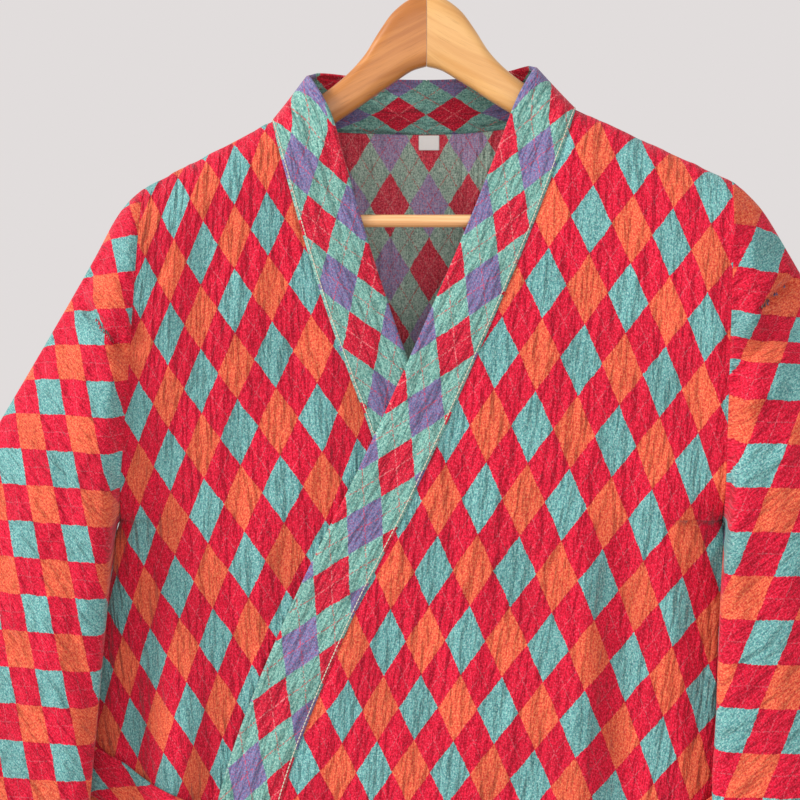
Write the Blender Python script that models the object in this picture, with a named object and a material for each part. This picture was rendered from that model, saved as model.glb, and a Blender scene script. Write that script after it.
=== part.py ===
"""Kimono robe on a wooden hanger.

Every sewn piece is a wall of cloth of its own: back, two fronts, two sleeves, the two halves
of the neck band, a tie belt with its knot and ends, two belt loops and a size tab.
+X is the wearer's left, the front faces -Y, +Z is up, and the origin is the point inside the
hook that rests on a rail. Lengths are metres.
"""
import math

import bmesh
import bpy
from mathutils import Vector

for old in list(bpy.data.objects):
    bpy.data.objects.remove(old, do_unlink=True)

# Cloth sizes
CLOTH = 0.002
SEAM_GAP = 0.0003
BAND_WIDTH = 0.046
HEM_Z = -1.275
UNDERARM_Z = -0.478

# The lower front steps in under the upper one: how far, where it starts and over what width
LAYER_STEP = 0.0050
LAP_REACH = 1.1 * BAND_WIDTH
LAP_START = 0.045
LAP_RUN = 0.036

# Steps of the cloth's grids
ARC_STEPS = 4
MIDDLE_STEPS = 5
LOWER_ROWS = 14
FRONT_COLUMNS = 17
FRONT_EVEN = 0.15
SHOULDER_STEPS = 5
BAND_STEPS = 3


def table(columns, *rows):
    """Rows with named columns; the first column is the one that the others are read along."""
    return [dict(zip(columns.split(), row)) for row in rows]


# Shoulders and armholes, one row for each side of the wearer
SHOULDERS = {
    "left": dict(sign=1, neck_x=0.1176, neck_z=-0.1539, tip_x=0.2389, tip_z=-0.2126, underarm_x=0.232),
    "right": dict(sign=-1, neck_x=0.1220, neck_z=-0.1634, tip_x=0.2220, tip_z=-0.2180, underarm_x=0.241),
}
BACK_NECK_Z = -0.1688
RIDGE_ROUND = 0.050
UNDERARM_ROUND = 0.042
UNDERARM_SPREAD = 0.90
SIDE_POWER = 5.0
SIDE_PLAIN = 0.12
FORWARD = 0.028
FORWARD_AT = 0.230
FORWARD_REACH = 1.1

# Level sections of the body: half widths, depths of front and back, share of the forward set
SECTIONS = table(
    "z left right front back forward",
    (-0.120, 0.2389, 0.2220, 0.021, 0.046, 1.00),
    (-0.210, 0.2389, 0.2220, 0.027, 0.041, 1.00),
    (-0.300, 0.2360, 0.2290, 0.031, 0.034, 0.75),
    (-0.478, 0.2320, 0.2410, 0.034, 0.031, 0.35),
    (-0.510, 0.2400, 0.2495, 0.033, 0.030, 0.31),
    (-0.560, 0.2480, 0.2590, 0.032, 0.030, 0.26),
    (-0.700, 0.2550, 0.2690, 0.033, 0.030, 0.16),
    (-0.850, 0.2610, 0.2730, 0.037, 0.035, 0.08),
    (-1.050, 0.2690, 0.2780, 0.043, 0.042, 0.00),
    (-1.275, 0.2780, 0.2840, 0.048, 0.048, 0.00),
)

# Seam between each front and its half of the neck band, from neck to hem
LEFT_EDGE = table(
    "z x",
    (-0.1539, 0.1176),
    (-0.2500, 0.0810),
    (-0.3420, 0.0416),
    (-0.4545, -0.0094),
    (-0.5490, -0.0565),
    (-0.6490, -0.0990),
    (-0.7200, -0.1210),
    (-0.8200, -0.1400),
    (-1.0000, -0.1530),
    (-1.2750, -0.1580),
)
RIGHT_EDGE = table(
    "z x",
    (-0.1634, -0.1220),
    (-0.2520, -0.0973),
    (-0.3200, -0.0760),
    (-0.4120, -0.0424),
    (-0.5200, -0.0050),
    (-0.6200, 0.0210),
    (-0.7200, 0.0380),
    (-0.8500, 0.0500),
    (-1.0500, 0.0570),
    (-1.2750, 0.0600),
)

# How the band stands up behind the neck: place of its free edge for a share of the neck width
STAND = table(
    "share x y z",
    (0.00, 0.000, 0.023, -0.1286),
    (0.30, 0.034, 0.023, -0.1278),
    (0.60, 0.064, 0.021, -0.1240),
    (0.86, 0.081, 0.012, -0.1180),
    (1.00, 0.0838, -0.001, -0.1173),
)
STAND_TURN = 0.034
STAND_SET_TURN = STAND_TURN / 2.4
STAND_FRONT_Y = -0.0212
SEAM_MITRE = 1.15
STAND_STEPS = (0.0, 0.2, 0.4, 0.6, 0.78, 0.91)

# Soft vertical folds: place at top and at hem, where it starts, half width, depth (+ is proud)
FOLD_COLUMNS = "x_top x_hem z_top run width depth"
FRONT_FOLDS = table(
    FOLD_COLUMNS,
    (-0.186, -0.232, -0.470, 0.16, 0.017, 0.0075),
    (-0.220, -0.258, -0.440, 0.14, 0.014, -0.0060),
    (0.124, 0.112, -0.420, 0.18, 0.020, 0.0060),
    (0.152, 0.146, -0.380, 0.16, 0.017, -0.0065),
    (0.196, 0.205, -0.400, 0.20, 0.020, 0.0045),
    (0.000, 0.010, -0.820, 0.20, 0.034, 0.0050),
)
BACK_FOLDS = table(
    FOLD_COLUMNS,
    (-0.150, -0.170, -0.380, 0.25, 0.024, 0.0060),
    (-0.090, -0.100, -0.420, 0.25, 0.022, -0.0050),
    (0.060, 0.075, -0.460, 0.25, 0.026, 0.0055),
    (0.140, 0.160, -0.340, 0.25, 0.022, -0.0040),
    (0.190, 0.210, -0.400, 0.25, 0.020, 0.0050),
)

# Sleeves: outer fold, inner fold and half depth at stations along the sleeve
SLEEVE_COLUMNS = "along outer_x outer_z outer_y inner_x inner_z inner_y depth"
SLEEVES = {
    "left": table(
        SLEEVE_COLUMNS,
        (0.00, 0.2389, -0.2126, -0.028, 0.2350, -0.4765, -0.0098, 0.0300),
        (0.08, 0.2500, -0.2215, -0.028, 0.2355, -0.4880, -0.0230, 0.0290),
        (0.16, 0.2640, -0.2370, -0.028, 0.2330, -0.5070, -0.0370, 0.0270),
        (0.25, 0.2810, -0.2650, -0.028, 0.2290, -0.5400, -0.0490, 0.0260),
        (0.45, 0.3250, -0.3410, -0.027, 0.2255, -0.6180, -0.0530, 0.0250),
        (0.70, 0.3990, -0.4690, -0.025, 0.2240, -0.7160, -0.0530, 0.0230),
        (1.00, 0.5050, -0.6560, -0.022, 0.2600, -0.7940, -0.0460, 0.0200),
    ),
    "right": table(
        SLEEVE_COLUMNS,
        (0.00, 0.2220, -0.2180, -0.028, 0.2440, -0.4765, -0.0098, 0.0300),
        (0.08, 0.2340, -0.2290, -0.028, 0.2460, -0.4880, -0.0210, 0.0290),
        (0.16, 0.2450, -0.2440, -0.028, 0.2475, -0.5070, -0.0340, 0.0280),
        (0.25, 0.2610, -0.2740, -0.028, 0.2495, -0.5400, -0.0450, 0.0270),
        (0.45, 0.3060, -0.3520, -0.027, 0.2560, -0.6180, -0.0500, 0.0260),
        (0.70, 0.3800, -0.4770, -0.025, 0.2640, -0.7160, -0.0500, 0.0235),
        (1.00, 0.4870, -0.6590, -0.022, 0.2620, -0.7970, -0.0420, 0.0200),
    ),
}
SLEEVE_RINGS = 13
RING_EVEN = 0.45
RING_POWER = 1.7
SLEEVE_PLAIN = 0.25
SLEEVE_TURN = 0.09
UNDERARM_DROP = CLOTH + 0.0006
UNDERARM_DROP_FROM = -0.45
UNDERARM_DROP_RUN = 0.5

# Belt
BELT_WIDTH = 0.038
BELT_THICK = 0.003
BELT_STAND_OFF = 0.0052
BELT_BACK_Z = -0.668
BELT_BACK_RISE = 0.008
BELT_STEPS = 15
BELT_LINE = table(
    "x z",
    (-0.260, -0.676),
    (-0.190, -0.7165),
    (-0.100, -0.7560),
    (0.000, -0.7820),
    (0.100, -0.7640),
    (0.190, -0.7320),
    (0.260, -0.6900),
)
KNOT_X = 0.004
KNOT_HALF_WIDTH = 0.021
KNOT_HALF_HEIGHT = 0.024
KNOT_HALF_DEPTH = 0.011
KNOT_MOUTH = 0.80
KNOT_ROUND_Y = 0.7
KNOT_ROUND_Z = 0.8
KNOT_RINGS = 7
KNOT_SIDES = 14
BELT_END_LENGTHS = {"left": 0.300, "right": 0.262}
BELT_END_STEPS = 8
BELT_END_X = 0.010
BELT_END_SPREAD = 0.026
BELT_END_SWAY = 0.006
BELT_END_GATHER = 0.42
BELT_END_CROWN = 0.002
LOWER_END_WIDTH = 0.018
LOWER_END_GROWTH = 0.030

# Belt loops
LOOP_WIDTH = 0.008
LOOP_THICK = 0.0012
LOOP_ROOM = 0.0008
LOOP_FOOT = 0.010
LOOP_ROOT = 0.003

# Hanger
ARM = table(
    "x rise height half_thick",
    (0.000, 0.0335, 0.0550, 0.0125),
    (0.012, 0.0387, 0.0575, 0.0125),
    (0.027, 0.0355, 0.0560, 0.0122),
    (0.038, 0.0261, 0.0480, 0.0118),
    (0.050, 0.0133, 0.0375, 0.0114),
    (0.066, 0.0050, 0.0315, 0.0110),
    (0.090, 0.0000, 0.0295, 0.0106),
    (0.112, -0.0027, 0.0300, 0.0104),
    (0.150, -0.0027, 0.0370, 0.0102),
    (0.180, -0.0027, 0.0490, 0.0100),
    (0.203, -0.0027, 0.0570, 0.0100),
)
ARM_END_X = {"left": 0.225, "right": 0.213}
ARM_SIDES = 16
ARM_END_STEPS = 4
ARM_SQUARE = 0.55
ARM_ROUNDER = 0.35
ARM_ROUNDER_FROM = 0.050
BAR_HALF = 0.2030
BAR_RADIUS = 0.005
SOCKET_LENGTH = 0.1
BAR_Z = -0.2428
HOOK_RADIUS = 0.021
HOOK_WIRE = 0.0018
HOOK_SHANK = 0.012
HOOK_BOW = (-62, 201, 14)

# Size tab
TAB_X = 0.0023
TAB_TUCK = 0.001
TAB_WIDTH = 0.016
TAB_HEIGHT = 0.0115
TAB_THICK = 0.0008


# Curves read from the short tables above

def read(rows, column, at):
    """Value of a column at a place along the first column, on a smooth curve."""
    first = next(iter(rows[0]))
    keys = [row[first] for row in rows]
    if keys[0] > keys[-1]:
        rows = rows[::-1]
        keys = keys[::-1]
    at = min(max(at, keys[0]), keys[-1])
    k = 0
    while k < len(keys) - 2 and at > keys[k + 1]:
        k += 1
    step = keys[k + 1] - keys[k]
    s = (at - keys[k]) / step

    def slope(i):
        a = max(i - 1, 0)
        b = min(i + 1, len(keys) - 1)
        return (rows[b][column] - rows[a][column]) / (keys[b] - keys[a])

    start, end = rows[k][column], rows[k + 1][column]
    return (
        start * (2 * s**3 - 3 * s**2 + 1)
        + end * (3 * s**2 - 2 * s**3)
        + slope(k) * step * (s**3 - 2 * s**2 + s)
        + slope(k + 1) * step * (s**3 - s**2)
    )


def smooth(t):
    t = min(max(t, 0.0), 1.0)
    return t * t * (3 - 2 * t)


def bulge(t):
    """Quarter of an ellipse: 0 at the edge, 1 from t = 1 on."""
    t = min(max(t, 0.0), 1.0)
    return math.sqrt(1 - (1 - t) ** 2)


# The body's form

def side_of(x):
    return SHOULDERS["left"] if x >= 0 else SHOULDERS["right"]


def ridge_z(x):
    """Height of the shoulder line, carried on up to the middle of the neck."""
    side = side_of(x)
    fall = (side["neck_z"] - side["tip_z"]) / (side["tip_x"] - side["neck_x"])
    return side["neck_z"] - fall * (abs(x) - side["neck_x"])


def half_width(x, z):
    """Armhole line down to the underarm, side seam below it."""
    side = side_of(x)
    if z > UNDERARM_Z:
        share = (side["tip_z"] - z) / (side["tip_z"] - UNDERARM_Z)
        share = min(max(share, 0.0), 1.0)
        return side["tip_x"] + (side["underarm_x"] - side["tip_x"]) * share
    return read(SECTIONS, "left" if x >= 0 else "right", z)


def middle_y(x, z):
    """The plane between front and back, which the hanger's arms carry forward at the sides."""
    reach = min(abs(x) / FORWARD_AT, FORWARD_REACH)
    return -FORWARD * read(SECTIONS, "forward", z) * reach**2


def fold_depth(folds, x, z):
    total = 0.0
    for fold in folds:
        below = fold["z_top"] - z
        centre = fold["x_top"] + (fold["x_hem"] - fold["x_top"]) * below / (fold["z_top"] - HEM_Z)
        strength = smooth(below / fold["run"])
        total += fold["depth"] * strength * math.exp(-(((x - centre) / fold["width"]) ** 2))
    return total


def body_depth(x, z, face):
    """Distance of the front or back wall from the middle plane."""
    share = min(abs(x) / half_width(x, z), 1.0)
    under = bulge((z - UNDERARM_Z) / (UNDERARM_ROUND + UNDERARM_SPREAD * (1 - share)))
    rounding = math.sqrt(max(0.0, 1 - share**SIDE_POWER))
    across = under + (1 - under) * rounding
    below = bulge((ridge_z(x) - z) / RIDGE_ROUND)
    folds = FRONT_FOLDS if face == "front" else BACK_FOLDS
    proud = fold_depth(folds, x, z) * smooth((1 - share) / SIDE_PLAIN)
    return (read(SECTIONS, face, z) + proud) * below * across


def front_y(x, z, under_layer=False):
    y = middle_y(x, z) - body_depth(x, z, "front")
    if under_layer:
        top_edge = read(LEFT_EDGE, "x", z) - LAP_REACH
        y += LAYER_STEP * smooth((x - top_edge + LAP_START) / LAP_RUN)
    return y


def back_y(x, z):
    return middle_y(x, z) + body_depth(x, z, "back")


# Walls of cloth from grids of points

def grid_normals(rows, wrap=False):
    """Unit normals of a grid, from the points on either side of each one."""
    last_row = len(rows) - 1
    count = len(rows[0])
    normals = []
    for j, row in enumerate(rows):
        line = []
        for i in range(count):
            down = rows[min(j + 1, last_row)][i] - rows[max(j - 1, 0)][i]
            if wrap:
                across = row[(i + 1) % count] - row[i - 1]
            else:
                across = row[min(i + 1, count - 1)] - row[max(i - 1, 0)]
            line.append(across.cross(down).normalized())
        normals.append(line)
    return normals


def wall(name, rows, normals, thickness, look, wrap=False, parent=None):
    """One closed solid: the grid moved out and in by half the thickness, with its rims closed."""
    count = len(rows[0])
    height = len(rows)
    half = thickness / 2
    mesh = bpy.data.meshes.new(name)
    shape = bmesh.new()
    layers = []
    for direction in (half, -half):
        layers.append([
            [shape.verts.new(p + n * direction) for p, n in zip(line, turned)]
            for line, turned in zip(rows, normals)
        ])
    outer, inner = layers
    spans = count if wrap else count - 1
    for j in range(height - 1):
        for i in range(spans):
            k = (i + 1) % count
            shape.faces.new((outer[j][i], outer[j][k], outer[j + 1][k], outer[j + 1][i]))
            shape.faces.new((inner[j][i], inner[j + 1][i], inner[j + 1][k], inner[j][k]))
    for j in (0, height - 1):
        for i in range(spans):
            k = (i + 1) % count
            shape.faces.new((outer[j][i], outer[j][k], inner[j][k], inner[j][i]))
    if not wrap:
        for i in (0, count - 1):
            for j in range(height - 1):
                shape.faces.new((outer[j][i], outer[j + 1][i], inner[j + 1][i], inner[j][i]))
    bmesh.ops.recalc_face_normals(shape, faces=shape.faces)
    shape.to_mesh(mesh)
    shape.free()
    return place(name, mesh, look, parent)


def place(name, mesh, look, parent):
    mesh.shade_smooth()
    mesh.set_sharp_from_angle(angle=math.radians(50))
    mesh.materials.append(look)
    thing = bpy.data.objects.new(name, mesh)
    bpy.context.scene.collection.objects.link(thing)
    thing.parent = parent
    return thing


def make_look(name, colour, roughness, metallic=0.0):
    look = bpy.data.materials.new(name)
    look.use_nodes = True
    shader = look.node_tree.nodes["Principled BSDF"]
    shader.inputs["Base Color"].default_value = (*colour, 1.0)
    shader.inputs["Roughness"].default_value = roughness
    shader.inputs["Metallic"].default_value = metallic
    return look


# Rows shared by back, fronts, band and sleeves

def armhole_steps():
    """Shares of the armhole's depth: close at the shoulder and at the underarm."""
    depth = SHOULDERS["left"]["tip_z"] - UNDERARM_Z
    turns = [k / ARC_STEPS * math.pi / 2 for k in range(ARC_STEPS + 1)]
    top = [RIDGE_ROUND * (1 - math.cos(turn)) for turn in turns]
    low = [depth - UNDERARM_ROUND * (1 - math.sin(turn)) for turn in turns]
    span = low[0] - top[-1]
    middle = [top[-1] + span * k / MIDDLE_STEPS for k in range(1, MIDDLE_STEPS)]
    return [step / depth for step in top + middle + low]


ARMHOLE = armhole_steps()
UNDERARM_ROW = len(ARMHOLE) - 1
ROW_COUNT = UNDERARM_ROW + LOWER_ROWS + 1


def row_z(top_z, j):
    """Height of row j in a column that starts at top_z."""
    if j <= UNDERARM_ROW:
        return top_z + (UNDERARM_Z - top_z) * ARMHOLE[j]
    return UNDERARM_Z + (HEM_Z - UNDERARM_Z) * (j - UNDERARM_ROW) / LOWER_ROWS


def seam_normals(rows, normals, side, column):
    """Shoulder and side edges share one direction on front and back, so the walls meet face to face."""
    sign = side["sign"]
    fall = (side["neck_z"] - side["tip_z"]) / (side["tip_x"] - side["neck_x"])
    ridge = Vector((sign * fall, 0, 1)).normalized()
    for i, point in enumerate(rows[0]):
        if side["neck_x"] - 0.001 <= abs(point.x) and point.x * sign > 0:
            normals[0][i] = ridge
    for j in range(UNDERARM_ROW, ROW_COUNT):
        above = rows[max(j - 1, UNDERARM_ROW)][column]
        below = rows[min(j + 1, ROW_COUNT - 1)][column]
        run = below - above
        normals[j][column] = Vector((-run.z * sign, 0, run.x * sign)).normalized()


# Fronts

def front_rows(name):
    """Grid of one front, from its band seam to its armhole and side seam."""
    side = SHOULDERS[name]
    sign = side["sign"]
    edge = LEFT_EDGE if name == "left" else RIGHT_EDGE
    rows = []
    for j in range(ROW_COUNT):
        inner_z = row_z(side["neck_z"], j)
        outer_z = row_z(side["tip_z"], j)
        inner_x = read(edge, "x", inner_z)
        outer_x = sign * half_width(sign, outer_z)
        line = []
        for i in range(FRONT_COLUMNS + 1):
            s = i / FRONT_COLUMNS
            s = FRONT_EVEN * s + (1 - FRONT_EVEN) * math.sin(s * math.pi / 2)
            x = inner_x + (outer_x - inner_x) * s
            z = inner_z + (outer_z - inner_z) * s
            y = front_y(x, z, under_layer=name == "right")
            line.append(Vector((x, y, z)))
        rows.append(line)
    for point in rows[0]:
        point.y = middle_y(point.x, point.z) - SEAM_GAP / 2
    for j in range(UNDERARM_ROW, ROW_COUNT):
        last = rows[j][-1]
        last.y = middle_y(last.x, last.z) - SEAM_GAP / 2
    return rows


def make_front(name, look, parent):
    rows = front_rows(name)
    normals = grid_normals(rows)
    if name == "left":
        normals = [[-n for n in line] for line in normals]
    seam_normals(rows, normals, SHOULDERS[name], FRONT_COLUMNS)
    wall("front_" + name, rows, normals, CLOTH, look, parent=parent)
    return rows, normals


# Back

def back_columns():
    """Share of the half width for each column, with a column on each neck point."""
    shares = []
    for name in ("right", "left"):
        side = SHOULDERS[name]
        neck = side["neck_x"] / side["tip_x"]
        half = [neck * step for step in STAND_STEPS]
        for k in range(SHOULDER_STEPS + 1):
            half.append(neck + (1 - neck) * math.sin(k / SHOULDER_STEPS * math.pi / 2))
        shares.append([share * side["sign"] for share in half])
    right, left = shares
    return right[:0:-1] + left


def back_top(x):
    """Top edge of the back: the neckline, then the shoulder line."""
    side = side_of(x)
    share = abs(x) / side["neck_x"]
    if share >= 1:
        return ridge_z(x)
    return BACK_NECK_Z + (side["neck_z"] - BACK_NECK_Z) * share**2


def back_rows():
    columns = back_columns()
    rows = []
    for j in range(ROW_COUNT):
        line = []
        for share in columns:
            side = side_of(share)
            top_z = back_top(share * side["tip_x"])
            z = row_z(top_z, j)
            outer_z = row_z(side["tip_z"], j)
            x = share * half_width(share, outer_z)
            line.append(Vector((x, back_y(x, z), z)))
        rows.append(line)
    for point in rows[0]:
        if abs(point.x) >= side_of(point.x)["neck_x"] - 0.0001:
            point.y = middle_y(point.x, point.z) + SEAM_GAP / 2
    for j in range(UNDERARM_ROW, ROW_COUNT):
        for point in (rows[j][0], rows[j][-1]):
            point.y = middle_y(point.x, point.z) + SEAM_GAP / 2
    return rows


def make_back(look, parent):
    rows = back_rows()
    normals = grid_normals(rows)
    for name, column in (("right", 0), ("left", len(rows[0]) - 1)):
        seam_normals(rows, normals, SHOULDERS[name], column)
    wall("back", rows, normals, CLOTH, look, parent=parent)
    return rows, normals


# Sleeves

def sleeve_rows(name, loop):
    """Rings from the armhole to the cuff, each the armhole's loop turned and flattened."""
    sign = SHOULDERS[name]["sign"]
    table_rows = SLEEVES[name]
    top = loop[0]
    low = loop[UNDERARM_ROW]
    centre_y = [middle_y(p.x, p.z) for p in loop]
    tall = [2 * (p.z - low.z) / (top.z - low.z) - 1 for p in loop]
    deep = [(p.y - y) / table_rows[0]["depth"] for p, y in zip(loop, centre_y)]
    rows = []
    for k in range(SLEEVE_RINGS + 1):
        s = k / SLEEVE_RINGS
        along = RING_EVEN * s + (1 - RING_EVEN) * s**RING_POWER
        at = {column: read(table_rows, column, along) for column in table_rows[0]}
        outer = Vector((sign * at["outer_x"], at["outer_y"], at["outer_z"]))
        inner = Vector((sign * at["inner_x"], at["inner_y"], at["inner_z"]))
        plain = smooth(along / SLEEVE_PLAIN)
        line = []
        for i, point in enumerate(loop):
            oval = math.copysign(math.sqrt(max(0.0, 1 - tall[i] ** 2)), deep[i])
            depth = deep[i] + (oval - deep[i]) * plain
            if abs(tall[i]) > 0.9999:
                depth = 0.0
            place_on = inner.lerp(outer, (tall[i] + 1) / 2)
            place_on.y += at["depth"] * depth
            if k == 0:
                drop = smooth((UNDERARM_DROP_FROM - tall[i]) / UNDERARM_DROP_RUN)
                place_on = point.copy()
                place_on.x += sign * (SEAM_GAP + UNDERARM_DROP * drop)
            line.append(place_on)
        rows.append(line)
    return rows


def armhole_loop(front, back, column):
    """The armhole's points: down the front from the shoulder, and up the back."""
    down = [front[j][-1].copy() for j in range(UNDERARM_ROW + 1)]
    up = [back[j][column].copy() for j in range(UNDERARM_ROW - 1, 0, -1)]
    for point in (down[0], down[-1]):
        point.y = middle_y(point.x, point.z)
    return down + up


def make_sleeve(name, front, front_normals, back, back_normals, look, parent):
    column = len(back[0]) - 1 if name == "left" else 0
    loop = armhole_loop(front, back, column)
    rows = sleeve_rows(name, loop)
    normals = grid_normals(rows, wrap=True)
    centre = sum(rows[1], Vector()) / len(loop)
    if normals[1][0].dot(rows[1][0] - centre) < 0:
        normals = [[-n for n in line] for line in normals]
    edge = [front_normals[j][-1] for j in range(UNDERARM_ROW + 1)]
    edge += [back_normals[j][column] for j in range(UNDERARM_ROW - 1, 0, -1)]
    low = loop[UNDERARM_ROW].z
    for i, point in enumerate(loop):
        share = smooth((point.z - low) / SLEEVE_TURN)
        normals[0][i] = normals[0][i].lerp(edge[i], share).normalized()
    wall("sleeve_" + name, rows, normals, CLOTH, look, wrap=True, parent=parent)


# Neck band

def standing_edge(side, share):
    """Free edge of the band where it stands behind the neck."""
    scale = side["neck_x"] / SHOULDERS["left"]["neck_x"]
    x = read(STAND, "x", share) * scale + SEAM_GAP / 2
    return Vector((side["sign"] * x, read(STAND, "y", share), read(STAND, "z", share)))


def band_rows(name, front, back):
    """Strip from centre back, round the neck and down the front edge to the hem."""
    side = SHOULDERS[name]
    sign = side["sign"]
    middle = len(STAND_STEPS) + SHOULDER_STEPS
    seam = []
    free = []
    for k, step in enumerate(STAND_STEPS):
        point = back[0][middle + sign * k].copy()
        if k == 0:
            point.x = sign * SEAM_GAP / 2
        seam.append(point)
        free.append(standing_edge(side, step))
    line = [front[j][0].copy() for j in range(ROW_COUNT)]
    neck_free = standing_edge(side, 1.0)
    travelled = 0.0
    for j, point in enumerate(line):
        run = line[min(j + 1, ROW_COUNT - 1)] - line[max(j - 1, 0)]
        run.y = 0
        run.normalize()
        x = point.x + sign * run.z * BAND_WIDTH
        z = point.z - sign * run.x * BAND_WIDTH
        y = min(front_y(x, z, under_layer=name == "right"), STAND_FRONT_Y)
        travelled += (point - line[max(j - 1, 0)]).length
        seam.append(point)
        edge_point = neck_free.lerp(Vector((x, y, z)), smooth(travelled / STAND_TURN))
        edge_point.y = neck_free.y + (y - neck_free.y) * smooth(travelled / STAND_SET_TURN)
        free.append(edge_point)
    ways = [(f - s).normalized() for s, f in zip(seam, free)]
    return seam, ways


def make_band(name, front, front_normals, back, back_normals, look, parent):
    seam, ways = band_rows(name, front, back)
    middle = len(STAND_STEPS) + SHOULDER_STEPS
    sign = SHOULDERS[name]["sign"]
    panel = [back_normals[0][middle + sign * k] for k in range(len(STAND_STEPS))]
    panel += [front_normals[j][0] for j in range(ROW_COUNT)]
    whole = [
        [point + way * BAND_WIDTH * c / BAND_STEPS for c in range(BAND_STEPS + 1)]
        for point, way in zip(seam, ways)
    ]
    normals = grid_normals(whole)
    if normals[-1][0].y > 0:
        normals = [[-n for n in line] for line in normals]
    rows = []
    for k, (point, way) in enumerate(zip(seam, ways)):
        bend = min(max(normals[k][0].dot(panel[k]), -0.5), 1.0)
        gap = SEAM_GAP + SEAM_MITRE * CLOTH * math.tan(math.acos(bend) / 2)
        rows.append([
            point + way * (gap + (BAND_WIDTH - gap) * c / BAND_STEPS) for c in range(BAND_STEPS + 1)
        ])
    for c in range(BAND_STEPS + 1):
        normals[0][c].x = 0
        normals[0][c].normalize()
    wall("collar_" + name, rows, normals, CLOTH, look, parent=parent)


# Belt, loops and tab

def body_point(x, z, face, stand_off):
    """A point on the outer side of the body, moved out by stand_off."""
    reach = half_width(x, z)
    x = min(max(x, -reach), reach)
    depth_of = front_y if face == "front" else back_y
    step = 0.002
    here = Vector((x, depth_of(x, z), z))
    toward = -1 if x > 0 else 1
    beside = x + toward * step
    along = Vector((beside, depth_of(beside, z), z)) - here
    out = Vector((along.y, -along.x, 0)) * toward
    if face == "back":
        out = -out
    out.normalize()
    if abs(abs(x) - reach) < 1e-6:
        out = Vector((math.copysign(1, x), 0, 0))
    return here + out * stand_off


def belt_side_z(sign):
    """Middle of the belt where it crosses a side seam."""
    return read(BELT_LINE, "z", sign * half_width(sign, BELT_BACK_Z))


def belt_rows():
    """Upper and lower edge of the belt, from one side of the knot round the back to the other."""
    shares = [math.sin(k / BELT_STEPS * math.pi / 2) for k in range(BELT_STEPS + 1)]
    gap = KNOT_HALF_WIDTH + SEAM_GAP
    stations = [("front", "left", s) for s in shares]
    stations += [("back", "left", s) for s in shares[-2::-1]]
    stations += [("back", "right", -s) for s in shares[1:-1]]
    stations += [("front", "right", s) for s in shares[::-1]]
    rows = [[], []]
    for face, name, s in stations:
        for row, lift in zip(rows, (0.5, -0.5)):
            if face == "front":
                sign = SHOULDERS[name]["sign"]
                start = KNOT_X + sign * gap
                reach = half_width(sign, BELT_BACK_Z)
                x = start + (sign * reach - start) * s
                z = read(BELT_LINE, "z", x) + lift * BELT_WIDTH
            else:
                x = s * half_width(s, BELT_BACK_Z)
                level = belt_side_z(-1) + (belt_side_z(1) - belt_side_z(-1)) * (s + 1) / 2
                z = level + BELT_BACK_RISE * (1 - s * s) + lift * BELT_WIDTH
            edge = math.copysign(half_width(x, z), x)
            if abs(s) > 0.999:
                x = edge
            row.append(body_point(x, z, face, BELT_STAND_OFF))
    return rows


def make_belt(look, parent):
    rows = belt_rows()
    normals = grid_normals(rows)
    if normals[0][0].dot(Vector((0, -1, 0))) < 0:
        normals = [[-n for n in line] for line in normals]
    wall("belt", rows, normals, BELT_THICK, look, parent=parent)
    knot_z = read(BELT_LINE, "z", KNOT_X)
    knot_y = front_y(KNOT_X, knot_z) - CLOTH / 2 - SEAM_GAP - KNOT_HALF_DEPTH
    make_knot(knot_z, knot_y, look, parent)
    for name in ("left", "right"):
        make_belt_end(name, knot_z, look, parent)


def make_knot(knot_z, knot_y, look, parent):
    """The knot: one rounded wrap, fuller in the middle than at its two mouths."""
    mesh = bpy.data.meshes.new("belt_knot")
    shape = bmesh.new()
    rings = []
    for k in range(KNOT_RINGS + 1):
        s = 2 * k / KNOT_RINGS - 1
        full = KNOT_MOUTH + (1 - KNOT_MOUTH) * math.sqrt(max(0.0, 1 - s * s))
        ring = []
        for i in range(KNOT_SIDES):
            turn = 2 * math.pi * i / KNOT_SIDES
            y = rounded(math.cos(turn), KNOT_ROUND_Y) * KNOT_HALF_DEPTH * full
            z = rounded(math.sin(turn), KNOT_ROUND_Z) * KNOT_HALF_HEIGHT * full
            ring.append(shape.verts.new((KNOT_X + s * KNOT_HALF_WIDTH, knot_y + y, knot_z + z)))
        rings.append(ring)
    close_rings(shape, rings)
    shape.to_mesh(mesh)
    shape.free()
    place("belt_knot", mesh, look, parent)


def make_belt_end(name, knot_z, look, parent):
    """A hanging end: it leaves under the knot and falls, turning a little outward."""
    sign = SHOULDERS[name]["sign"]
    length = BELT_END_LENGTHS[name]
    top_z = knot_z - 0.975 * KNOT_HALF_HEIGHT - SEAM_GAP
    rows = []
    for k in range(BELT_END_STEPS + 1):
        s = k / BELT_END_STEPS
        z = top_z - length * s
        centre = BELT_END_X + BELT_END_SPREAD * s + BELT_END_SWAY * math.sin(s * 5)
        wide = BELT_WIDTH * (BELT_END_GATHER + (1 - BELT_END_GATHER) * smooth(s / 0.25))
        if name == "right":
            wide = min(wide, LOWER_END_WIDTH + LOWER_END_GROWTH * s)
        away = BELT_STAND_OFF + (KNOT_HALF_DEPTH - BELT_THICK) * (1 - smooth(s / 0.2))
        rows.append([])
        for c in (-0.5, 0.0, 0.5):
            x = KNOT_X + sign * centre + c * wide
            y = front_y(x, z) - away - BELT_END_CROWN * (1 - 4 * c * c)
            rows[-1].append(Vector((x, y, z)))
    normals = grid_normals(rows)
    if normals[0][0].y > 0:
        normals = [[-n for n in line] for line in normals]
    for k in range(3):
        normals[0][k].z = 0
        normals[0][k].normalize()
    wall("belt_end_" + name, rows, normals, BELT_THICK, look, parent=parent)


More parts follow.
